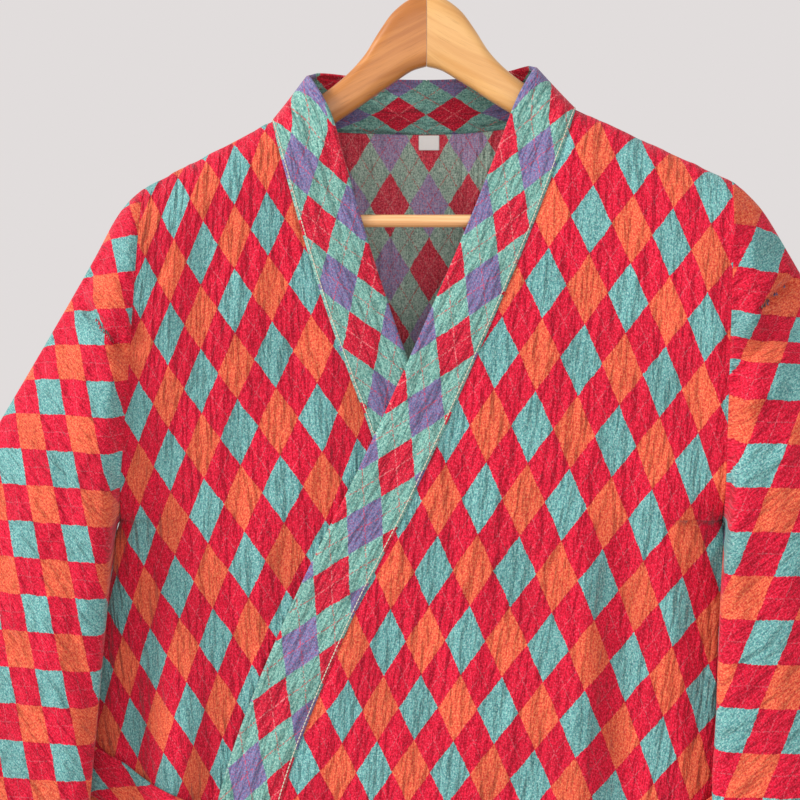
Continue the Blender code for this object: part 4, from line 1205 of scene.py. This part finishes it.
def make_sleeve(name, front, front_normals, back, back_normals):
    """One sleeve: a tube from the armhole of front and back to the open cuff."""
    side = SHOULDERS[name]
    sign = side["sign"]
    rows = SLEEVES[name]
    column = -1 if name == "left" else 0
    loop = np.concatenate([front[:UNDERARM_ROW + 1, -1], back[UNDERARM_ROW - 1:0:-1, column]])
    edge = np.concatenate([
        front_normals[:UNDERARM_ROW + 1, -1], back_normals[UNDERARM_ROW - 1:0:-1, column],
    ])
    centre_y = middle_y(loop[:, 0], loop[:, 2])
    for i in (0, UNDERARM_ROW):
        loop[i, 1] = centre_y[i]
    top_z, low_z = loop[0, 2], loop[UNDERARM_ROW, 2]
    tall = 2 * (loop[:, 2] - low_z) / (top_z - low_z) - 1
    deep = (loop[:, 1] - centre_y) / rows[0]["depth"]
    steps = np.arange(SLEEVE_RINGS + 1) / SLEEVE_RINGS
    along = 0.45 * steps + 0.55 * steps**1.7
    at = {key: read(rows, key, along)[:, None] for key in rows[0] if key != "along"}
    outer = np.concatenate([sign * at["outer_x"], at["outer_y"], at["outer_z"]], 1)
    inner = np.concatenate([sign * at["inner_x"], at["inner_y"], at["inner_z"]], 1)
    oval = np.copysign(np.sqrt(np.maximum(0.0, 1 - tall**2)), deep)
    plain = smooth(along / 0.25)[:, None]
    depth = deep[None] + (oval - deep)[None] * plain
    depth[:, np.abs(tall) > 0.9999] = 0.0
    share = ((tall + 1) / 2)[None, :, None]
    grid = inner[:, None] + (outer - inner)[:, None] * share
    grid[..., 1] += at["depth"] * depth
    drop = smooth((-0.45 - tall) / 0.5)
    first = loop.copy()
    first[:, 0] += sign * (SEAM_GAP + 0.0006 * drop)
    weight = np.clip(1 - along / SLEEVE_BLEND, 0, 1)[:, None, None]
    grid = grid + (first - grid[0])[None] * weight
    normals = turned(grid_normals(grid, wrap=True), (60, 5), grid[60, 5] - grid[60].mean(0))
    near_seam = smooth((loop[:, 2] - low_z) / 0.09)[None, :, None] * weight
    normals = unit(normals + (edge[None] - normals) * near_seam)
    down = unit((inner - outer)[:, [0, 2]])
    spans = np.linalg.norm(grid - np.roll(grid, 1, axis=1), axis=-1)
    front_run = np.cumsum(np.concatenate([np.zeros((len(grid), 1)), spans[:, 1:UNDERARM_ROW + 1]], 1), 1)
    back_run = np.cumsum(np.concatenate([spans[:, :1], spans[:, :UNDERARM_ROW:-1]], 1), 1)
    flat = np.concatenate([
        outer[:, None, [0, 2]] + down[:, None] * front_run[..., None],
        (outer[:, None, [0, 2]] - down[:, None] * back_run[..., None])[:, ::-1],
    ], 1)
    panel = "sleeve_" + name
    ring = np.arange(grid.shape[1])
    order = np.concatenate([ring[UNDERARM_ROW:], ring[:UNDERARM_ROW]])
    front_flat = flat[:, :UNDERARM_ROW + 1]
    back_flat = flat[:, UNDERARM_ROW + 1:]
    low_back = back_flat[:, :1] * 2 - back_flat[:, 1:2]
    uv_places = np.concatenate([low_back, back_flat[:, :-1], front_flat], 1)
    uv = lay(panel, uv_places[..., 0], uv_places[..., 1])
    x, z = grid[..., 0], grid[..., 2]
    is_front = np.zeros(grid.shape[:2], bool)
    is_front[:, :UNDERARM_ROW + 1] = True
    height = relief(panel, x, z + np.where(is_front, 0.0, BACK_CREASE_SHIFT))
    round_fold = smooth((1 - np.abs(tall)) / 0.10)[None]
    fade = smooth(along / 0.04)[:, None] * round_fold
    height = height * fade
    around = np.arange(grid.shape[1])[None] * RING_STEP
    reach = along[:, None] * SLEEVE_LENGTH
    height = height + seam_puckers(around, reach, 75) * round_fold
    cuff = HEM_STEP * smooth((along - CUFF_FROM) / 0.006)[:, None]
    shaped = grid + normals * (height + cuff)[..., None]
    near = smooth(along / 0.012)[:, None] * np.ones(grid.shape[:2])
    thick = PANEL_THICK * (SEAM_SHARE + (1 - SEAM_SHARE) * near)
    piece = shell(
        panel, shaped[:, order], normals[:, order], thick[:, order], uv,
        (face_look, reverse_look), wrap=True,
    )
    dress(piece, panel)
    return piece, shaped, normals


# Neck band

def standing_edge(side, share):
    """Free edge of the band where it stands behind the neck."""
    scale = side["neck_x"] / SHOULDERS["left"]["neck_x"]
    x = read(STAND, "x", share) * scale + SEAM_GAP / 2
    return np.stack([side["sign"] * x, read(STAND, "y", share), read(STAND, "z", share)], -1)


def make_band(name, front, front_normals, back, back_normals, stand_count):
    """One half of the neck band, from centre back down the front's edge to the hem."""
    side = SHOULDERS[name]
    sign = side["sign"]
    middle = (back.shape[1] - 1) // 2
    picks = middle + sign * np.arange(stand_count)
    stand_seam = back[0, picks].copy()
    stand_seam[0, 0] = sign * SEAM_GAP / 2
    shares = np.abs(stand_seam[:, 0]) / side["neck_x"]
    stand_free = standing_edge(side, shares)
    line = front[:, 0].copy()
    run = np.empty_like(line)
    run[1:-1] = line[2:] - line[:-2]
    run[0], run[-1] = line[1] - line[0], line[-1] - line[-2]
    run[:, 1] = 0
    run = unit(run)
    x = line[:, 0] + sign * run[:, 2] * BAND_WIDTH
    z = line[:, 2] - sign * run[:, 0] * BAND_WIDTH
    y = np.minimum(front_y(x, z, under_layer=name == "right"), STAND_FRONT_Y)
    pieces = np.linalg.norm(np.diff(line, axis=0), axis=1)
    travelled = np.concatenate([[0], np.cumsum(pieces)])
    neck_free = standing_edge(side, np.array([1.0]))[0]
    settled = smooth(travelled / STAND_TURN)[:, None]
    free = neck_free + (np.stack([x, y, z], 1) - neck_free) * settled
    free[:, 1] = neck_free[1] + (y - neck_free[1]) * smooth(2.4 * travelled / STAND_TURN)
    seam = np.concatenate([stand_seam, line])
    ways = unit(np.concatenate([stand_free, free]) - seam)
    panel = np.concatenate([back_normals[0, picks], front_normals[:, 0]])
    across = np.arange(BAND_STEPS + 1) / BAND_STEPS
    whole = seam[:, None] + ways[:, None] * BAND_WIDTH * across[None, :, None]
    normals = turned(grid_normals(whole), (-1, 0), FRONTWARD)
    bend = np.clip(np.sum(normals[:, 0] * panel, 1), -0.5, 1.0)
    gap = (SEAM_GAP + 1.15 * CLOTH * np.tan(np.arccos(bend) / 2))[:, None]
    reach = gap + (BAND_WIDTH - gap) * across[None]
    grid = seam[:, None] + ways[:, None] * reach[..., None]
    normals[0, :, 0] = 0
    normals[0] = unit(normals[0])
    steps = np.concatenate([[0], np.cumsum(np.linalg.norm(np.diff(seam, axis=0), axis=1))])
    run_along = steps - steps[stand_count]
    phase = read(BAND_PHASE[name], "phase", run_along)[:, None]
    column = read(BAND_LIE[name], "share", run_along)[:, None]
    squeeze = 1 + STAND_SQUEEZE * smooth(-run_along / 0.05)[:, None]
    lateral = (1 - across[None] - column) * BAND_WIDTH * squeeze
    uv = np.stack([lateral * sign, np.broadcast_to(phase, lateral.shape)], -1)
    puckers = 0.00035 * ripple(run_along[:, None] / 0.011, across[None] * 2.0, 91)
    puckers = puckers + 0.0006 * ripple(run_along[:, None] / 0.045, across[None] * 1.2, 92)
    centre = np.sin(np.pi * across)[None] ** 0.7
    shaped = grid + normals * (puckers * centre)[..., None]
    thick = BAND_THICK * (1 + 0.12 * centre) * np.ones(grid.shape[:2])
    piece = shell(
        "collar_" + name, shaped, normals, thick, uv, (reverse_look, reverse_look), rim=0.45
    )
    dress(piece, "collar_" + name)
    return piece, shaped, normals


# Belt

def body_point(x, z, face, stand_off):
    """Points on the outer side of the body, moved out by stand_off."""
    reach = half_width(x, z)
    x = np.clip(x, -reach, reach)
    depth_of = front_y if face == "front" else back_y
    here = np.stack([x, depth_of(x, z), z], -1)
    toward = np.where(x > 0, -1.0, 1.0)
    beside = x + toward * 0.002
    along = np.stack([beside, depth_of(beside, z), z], -1) - here
    out = np.stack([along[..., 1], -along[..., 0], 0 * x], -1) * toward[..., None]
    if face == "back":
        out = -out
    out = unit(out)
    tip = np.abs(np.abs(x) - reach) < 1e-6
    out[tip] = np.stack([np.copysign(1, x), 0 * x, 0 * x], -1)[tip]
    return here + out * stand_off


def belt_side_z(sign):
    """Height of the belt where it passes the side seam."""
    return read(BELT_LINE, "z", sign * half_width(sign, BELT_BACK_Z))


def make_belt():
    """The belt round the body, gathered toward the knot."""
    count = 60
    lifts = np.linspace(0.5, -0.5, 9)
    gap = KNOT_HALF_WIDTH + SEAM_GAP
    quarter = np.sin(np.arange(count + 1) / count * np.pi / 2)
    parts = []
    for face, name, s in (
        ("front", "left", quarter),
        ("back", "", np.concatenate([quarter[-2::-1], -quarter[1:-1]])),
        ("front", "right", quarter[::-1]),
    ):
        s = s[:, None]
        if face == "front":
            sign = SHOULDERS[name]["sign"]
            start = KNOT_X + sign * gap
            x = start + (sign * half_width(sign, BELT_BACK_Z) - start) * s
            z = read(BELT_LINE, "z", x) + lifts[None] * BELT_WIDTH
            x = np.broadcast_to(x, z.shape).copy()
        else:
            x = s * half_width(s, np.full(s.shape, BELT_BACK_Z))
            level = belt_side_z(-1) + (belt_side_z(1) - belt_side_z(-1)) * (s + 1) / 2
            z = level + 0.008 * (1 - s * s) + lifts[None] * BELT_WIDTH
            x = np.broadcast_to(x, z.shape).copy()
        at_side = np.broadcast_to(np.abs(s) > 0.999, z.shape)
        edge = np.copysign(half_width(x, z), x)
        x[at_side] = edge[at_side]
        parts.append(body_point(x, z, face, BELT_STAND_OFF))
    grid = np.concatenate(parts)
    normals = turned(grid_normals(grid), (1, 4), FRONTWARD)
    steps = np.concatenate([[0], np.cumsum(np.linalg.norm(np.diff(grid[:, 4], axis=0), axis=1))])
    from_knot = np.minimum(steps, steps[-1] - steps)[:, None]
    lines = lifts[None] * 2
    gather = np.exp(-from_knot / 0.045)
    folds = 0.0012 * gather * np.cos(lines * 7.0 + 0.6)
    waves = 0.0004 * ripple(steps[:, None] / 0.030, lines * 1.4, 101)
    crown = 0.0003 * np.cos(lines * np.pi / 2)
    shaped = grid + normals * (folds + waves + crown)[..., None]
    uv = np.stack([
        np.broadcast_to(lifts[None] * BELT_WIDTH, grid.shape[:2]) + 0.006,
        np.broadcast_to(steps[:, None], grid.shape[:2]),
    ], -1)
    piece = shell("belt", shaped, normals, BELT_SHELL_THICK, uv, (face_look, face_look), rim=0.45)
    return dress(piece, "belt")


def make_knot():
    """The knot: a wrap of the belt with its folds drawn in, fuller in the middle."""
    knot_z = float(read(BELT_LINE, "z", KNOT_X))
    knot_y = float(front_y(KNOT_X, knot_z)) - CLOTH / 2 - SEAM_GAP - KNOT_HALF_DEPTH
    around = np.arange(72) / 72 * 2 * np.pi
    level = np.linspace(-1, 1, 41)[:, None]
    full = 0.80 + 0.20 * np.sqrt(np.maximum(0.0, 1 - level**2))
    mouth = 1 - 0.22 * np.abs(level) ** 9
    cos, sin = np.cos(around)[None], np.sin(around)[None]
    y = np.copysign(np.abs(cos) ** 0.7, cos) * KNOT_HALF_DEPTH * full * mouth
    z = np.copysign(np.abs(sin) ** 0.8, sin) * KNOT_HALF_HEIGHT * full * mouth
    x = np.broadcast_to(level * KNOT_HALF_WIDTH, y.shape)
    grid = np.stack([KNOT_X + x, knot_y + y, knot_z + z], -1)
    centre = np.array([KNOT_X, knot_y, knot_z])
    slant = (z / KNOT_HALF_HEIGHT) * 0.8 + level * 1.1
    folds = 0.0007 * np.cos(slant * 6.0) - 0.0022 * np.exp(-(((slant - 0.75) / 0.10) ** 2))
    folds = folds - 0.0014 * np.exp(-(((slant + 0.55) / 0.09) ** 2))
    out = unit(grid - centre)
    shaped = grid + out * (np.minimum(folds, 0.0) * smooth(-cos + 0.5))[..., None]
    name = "belt_knot"
    mesh = bpy.data.meshes.new(name)
    rings, sides = shaped.shape[:2]
    caps = np.array([[KNOT_X - KNOT_HALF_WIDTH, knot_y, knot_z], [KNOT_X + KNOT_HALF_WIDTH, knot_y, knot_z]])
    points = np.concatenate([shaped.reshape(-1, 3), caps])
    faces, places = tube_faces(rings, sides), []
    wide = sides + 1
    for j in range(rings - 1):
        for i in range(sides):
            places.extend((j * wide + i, j * wide + i + 1, (j + 1) * wide + i + 1, (j + 1) * wide + i))
    for ring, tip in ((0, rings * sides), (rings - 1, rings * sides + 1)):
        for i in range(sides):
            k = (i + 1) % sides
            faces.append((ring * sides + i, ring * sides + k, tip))
            places.extend((ring * wide + i, ring * wide + i + 1, ring * wide + i))
    turn = np.arange(wide)[None] / sides * 0.11 * np.ones((rings, 1))
    uv = np.stack([level * KNOT_HALF_WIDTH * np.ones((1, wide)) - 0.004, turn + 0.012], -1)
    mesh.from_pydata(points.tolist(), [], faces)
    layer = mesh.uv_layers.new(name="cloth")
    layer.data.foreach_set("uv", uv.reshape(-1, 2)[places].astype(np.float32).ravel())
    mesh.materials.append(face_look)
    knot = dress(place(name, mesh), name)
    return knot, knot_z


def make_belt_end(name, knot_z):
    """A hanging end: it leaves under the knot and falls, turning a little outward."""
    sign = SHOULDERS[name]["sign"]
    length = BELT_END_LENGTHS[name]
    top_z = knot_z - 0.975 * KNOT_HALF_HEIGHT - SEAM_GAP
    s = np.linspace(0, 1, 81)[:, None]
    c = np.linspace(-0.5, 0.5, 13)[None]
    z = np.broadcast_to(top_z - length * s, (81, 13))
    centre = KNOT_X + sign * (0.010 + 0.026 * s + 0.006 * np.sin(s * 5))
    wide = BELT_WIDTH * (0.42 + 0.58 * smooth(s / 0.25))
    if sign < 0:
        wide = np.minimum(wide, 0.018 + 0.030 * s)
    x = centre + c * wide
    away = BELT_STAND_OFF + (KNOT_HALF_DEPTH - 0.003) * (1 - smooth(s / 0.2))
    y = front_y(x, z) - away - 0.002 * (1 - 4 * c * c)
    grid = np.stack([x, y, z], -1)
    normals = turned(grid_normals(grid), (0, 6), FRONTWARD)
    gather = np.exp(-s / 0.16)
    folds = 0.0011 * gather * np.cos(c * 15.0 + 0.5 * sign) + 0.0004 * ripple(s * length / 0.03, c * 3.0, 111)
    shaped = grid + normals * folds[..., None]
    uv = np.stack([
        np.broadcast_to(c * BELT_WIDTH, z.shape) + 0.006, np.broadcast_to(s * length, z.shape),
    ], -1)
    piece = shell("belt_end_" + name, shaped, normals, BELT_SHELL_THICK, uv, (face_look, face_look), rim=0.45)
    dress(piece, "belt_end_" + name)
    return piece


def make_loop(name):
    """Belt loop: a narrow strip over the belt, its two feet on the side seam."""
    sign = SHOULDERS[name]["sign"]
    mid_z = float(belt_side_z(sign))
    foot = CLOTH / 2 + SEAM_GAP + LOOP_THICK / 2
    out = BELT_STAND_OFF + BELT_THICK / 2 + LOOP_ROOM + LOOP_THICK / 2
    reach = BELT_WIDTH / 2 + LOOP_ROOM + LOOP_THICK / 2
    path = np.array([
        (foot, reach + 0.010),
        (foot, reach + 0.003),
        (foot + 0.0015, reach + 0.0005),
        (out - 0.0006, reach + 0.0003),
        (out, reach - 0.002),
        (out, -reach + 0.002),
        (out - 0.0006, -reach - 0.0003),
        (foot + 0.0015, -reach - 0.0005),
        (foot, -reach - 0.003),
        (foot, -reach - 0.010),
    ])
    fine = np.linspace(0, len(path) - 1, 73)
    away = np.interp(fine, np.arange(len(path)), path[:, 0])
    rise = np.interp(fine, np.arange(len(path)), path[:, 1])
    for _ in range(3):
        away[1:-1] = (away[:-2] + 2 * away[1:-1] + away[2:]) / 4
        rise[1:-1] = (rise[:-2] + 2 * rise[1:-1] + rise[2:]) / 4
    z = (mid_z + rise)[:, None] * np.ones((1, 5))
    x = sign * (half_width(sign, z) + away[:, None])
    c = np.linspace(-0.5, 0.5, 5)[None]
    y = middle_y(x, z) + LOOP_WIDTH * c
    grid = np.stack([x, y, z], -1)
    normals = turned(grid_normals(grid), (36, 2), (sign, 0, 0))
    uv = np.stack([LOOP_WIDTH * c * np.ones((73, 1)) + 0.012, rise[:, None] * np.ones((1, 5)) + 0.004], -1)
    piece = shell("belt_loop_" + name, grid, normals, LOOP_THICK, uv, (face_look, face_look))
    return dress(piece, "belt_loop_" + name)


def make_tab():
    """Bare size tab: a single layer of tape that hangs from the neck seam."""
    drop = np.linspace(0, 1, 13)[:, None]
    c = np.linspace(-0.5, 0.5, 15)[None]
    z = BACK_NECK_Z - 0.001 - TAB_HEIGHT * drop * np.ones((1, 15))
    x = 0.0023 + TAB_WIDTH * c * np.ones((13, 1))
    y = back_y(x, z) - CLOTH / 2 - SEAM_GAP - TAB_THICK / 2
    y = y - 0.0006 * drop**2 * (1 + 0.6 * np.cos(c * 5))
    grid = np.stack([x, y, z], -1)
    normals = grid_normals(grid)
    uv = np.stack([x, z], -1)
    piece = shell("size_tab", grid, normals, TAB_THICK, uv, (white_tape, white_tape), rim=0.5)
    return dress(piece, "size_tab")


# Stitching

def stitch_run(name, points, outward, look, pitch, length, radius):
    """A row of stitches along a line, each a small rounded run of thread."""
    steps = np.concatenate([[0], np.cumsum(np.linalg.norm(np.diff(points, axis=0), axis=1))])
    count = int(steps[-1] / pitch)
    centres = (np.arange(count) + 0.5) * pitch

    def along(values, at):
        return np.stack([np.interp(at, steps, values[:, k]) for k in range(3)], 1)

    middle = along(points, centres)
    way = unit(along(points, centres + length / 2) - along(points, centres - length / 2))
    up = unit(along(outward, centres))
    side = unit(np.cross(way, up))
    up = np.cross(side, way)
    sides = 6
    turn = np.arange(sides) / sides * 2 * np.pi
    stations = (
        (-0.5, 0.25, -0.9), (-0.36, 0.9, -0.1), (0.0, 1.0, 0.25), (0.36, 0.9, -0.1), (0.5, 0.25, -0.9),
    )
    rings = []
    for place_at, size, lift in stations:
        spot = middle + way * (place_at * length) + up * (lift * radius)
        ring = spot[:, None] + (
            up[:, None] * np.sin(turn)[None, :, None] + side[:, None] * np.cos(turn)[None, :, None]
        ) * (radius * size)
        rings.append(ring)
    points_all = np.stack(rings, 1).reshape(-1, 3)
    per = len(stations) * sides
    faces = np.array(tube_faces(len(stations), sides))
    all_faces = (faces[None] + (np.arange(count) * per)[:, None, None]).reshape(-1, 4)
    mesh = bpy.data.meshes.new(name)
    mesh.from_pydata(points_all.tolist(), [], all_faces.tolist())
    mesh.materials.append(look)
    run = place(name, mesh, tidy=False)
    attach(run, "root")
    return run


# Hanger

def make_arm(name, look):
    """One wooden arm, lofted more finely through the frame's own sections."""
    side = SHOULDERS[name]
    sign = side["sign"]
    end = ARM_END_X[name]
    last = ARM[-1]
    stations = []
    for at in np.concatenate([np.linspace(0.0, 0.05, 26), np.linspace(0.053, last["x"], 44)]):
        section = [float(read(ARM, key, at)) for key in ("rise", "height", "half_thick")]
        stations.append([max(at, SEAM_GAP / 2), *section])
    for k in range(1, 13):
        turn = k * math.pi / 26
        shrink = math.cos(turn)
        x = last["x"] + (end - last["x"]) * math.sin(turn) / math.sin(12 * math.pi / 26)
        drop = last["height"] * (1 - shrink) / 2
        stations.append([x, last["rise"] - drop, last["height"] * shrink, last["half_thick"] * shrink])
    sides = 48
    turn = 2 * np.pi * (np.arange(sides) + 0.5) / sides
    rings = []
    for x, rise, height, half_thick in stations:
        top = float(ridge_z(sign * x)) + rise
        power = 0.55 + 0.35 * float(smooth((x - 0.05) / 0.05))
        y = np.copysign(np.abs(np.cos(turn)) ** power, np.cos(turn)) * half_thick
        z = np.copysign(np.abs(np.sin(turn)) ** power, np.sin(turn)) * height / 2
        centre_y = float(middle_y(sign * x, top))
        rings.append(np.stack([np.full(sides, sign * x), centre_y + y, top - height / 2 + z], 1))
    rings = np.array(rings)
    count = len(rings)
    mesh_name = "hanger_arm_" + name
    faces = tube_faces(count, sides)
    faces.append(tuple(range(sides)))
    faces.append(tuple((count - 1) * sides + i for i in range(sides)))
    mesh = bpy.data.meshes.new(mesh_name)
    points = rings.reshape(-1, 3)
    mesh.from_pydata(points.tolist(), [], faces)
    layer = mesh.uv_layers.new(name="grain")
    tilt = math.radians(28)
    u = np.abs(points[:, 0]) * math.cos(tilt) - points[:, 2] * math.sin(tilt)
    v = np.abs(points[:, 0]) * math.sin(tilt) + points[:, 2] * math.cos(tilt) + 0.6 * points[:, 1]
    grain = np.stack([u + 0.4 * sign, v], 1)
    corners = np.array([loop.vertex_index for loop in mesh.loops])
    layer.data.foreach_set("uv", grain[corners].astype(np.float32).ravel())
    mesh.materials.append(look)
    arm = place(mesh_name, mesh)
    mesh.set_sharp_from_angle(angle=math.radians(60))
    return dress(arm, mesh_name)


# Everything put together

back_grid, back_normals, stand_count, back_piece, back_shaped = make_back()
hem_row = ROW_COUNT - 1 - int(round(HEM_TURN / ((UNDERARM_Z - HEM_Z) / LOWER_ROWS)))
cuff_ring = SLEEVE_RINGS - 4
proud = PANEL_THICK / 2 + STITCH_LIFT
for side_name in ("left", "right"):
    front_grid, front_normals, front_piece, front_shaped = make_front(side_name)
    sleeve_piece, sleeve_shaped, sleeve_normals = make_sleeve(
        side_name, front_grid, front_normals, back_grid, back_normals
    )
    band_piece, band_shaped, band_normals = make_band(
        side_name, front_grid, front_normals, back_grid, back_normals, stand_count
    )
    band_line = band_shaped[:, 0] + (band_shaped[:, 1] - band_shaped[:, 0]) * BAND_STITCH_SHARE
    band_line = band_line + band_normals[:, 0] * (BAND_THICK / 2 + BAND_STITCH_LIFT)
    stitch_run(
        "stitches_band_" + side_name, band_line, band_normals[:, 0], pale_thread, **BAND_STITCH
    )
    stitch_run(
        "stitches_hem_front_" + side_name, front_shaped[hem_row] + front_normals[hem_row] * proud,
        front_normals[hem_row], red_thread, **FINE_STITCH,
    )
    stitch_run(
        "stitches_cuff_" + side_name, sleeve_shaped[cuff_ring] + sleeve_normals[cuff_ring] * proud,
        sleeve_normals[cuff_ring], red_thread, **FINE_STITCH,
    )
stitch_run(
    "stitches_hem_back", back_shaped[hem_row] + back_normals[hem_row] * proud,
    back_normals[hem_row], red_thread, **FINE_STITCH,
)
belt_piece = make_belt()
knot_piece, knot_z = make_knot()
loops = [make_loop("left"), make_loop("right")]
for side_name in ("left", "right"):
    make_belt_end(side_name, knot_z)
tab_piece = make_tab()
make_arm("left", wood_left_look)
make_arm("right", right_arm_wood_and_painted_shade_look)
for node, look in (("hanger_bar", rod_look), ("hanger_hook", wire_look)):
    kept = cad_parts[node]
    for material_slot in kept.material_slots:
        material_slot.material = look


# Studio: pale floor in plain pale surroundings, soft light from the left, camera at chest height

FLOOR_Z = -1.62
FLOOR_REACH = 30.0
LENS = 126.1
SENSOR = 36.0
SURROUNDINGS = (1.0, 0.955, 0.95, 1.0)
SURROUNDINGS_STRENGTH = 0.755


def make_stage():
    """A wide pale floor, well below the hem."""
    mesh = bpy.data.meshes.new("floor")
    corners = ((-1, -1), (1, -1), (1, 1), (-1, 1))
    points = [(x * FLOOR_REACH, y * FLOOR_REACH, FLOOR_Z) for x, y in corners]
    mesh.from_pydata(points, [], [(0, 1, 2, 3)])
    mesh.materials.append(plain_look("floor", (226, 224, 222)))
    place("floor", mesh)


def add_light(name, location, target, size, power, colour=(1, 1, 1)):
    """A square area light that faces its target."""
    data = bpy.data.lights.new(name, "AREA")
    data.shape = "SQUARE"
    data.size = size
    data.energy = power
    data.color = colour
    light = bpy.data.objects.new(name, data)
    light.location = location
    way = np.array(target, float) - np.array(location, float)
    light.rotation_euler = (
        math.acos(-way[2] / np.linalg.norm(way)), 0.0, math.atan2(way[1], way[0]) - math.pi / 2,
    )
    bpy.context.scene.collection.objects.link(light)


make_stage()
add_light("key", (-4.3, -2.0, 1.75), (0.0, 0.0, -0.45), 1.7, 235.0, (1.0, 0.985, 0.965))
add_light("fill", (0.4, -4.1, 0.1), (0.0, 0.0, -0.4), 2.0, 22.0)
world = bpy.data.worlds.new("studio")
world.use_nodes = True
world.node_tree.nodes["Background"].inputs[0].default_value = SURROUNDINGS
world.node_tree.nodes["Background"].inputs[1].default_value = SURROUNDINGS_STRENGTH
bpy.context.scene.world = world
bpy.context.scene.view_settings.view_transform = "Standard"

camera_data = bpy.data.cameras.new("camera")
camera_data.sensor_width = SENSOR
camera_data.lens = LENS
camera = bpy.data.objects.new("camera", camera_data)
camera.location = EYE
camera.rotation_euler = (math.radians(90), 0.0, 0.0)
bpy.context.scene.collection.objects.link(camera)
bpy.context.scene.camera = camera
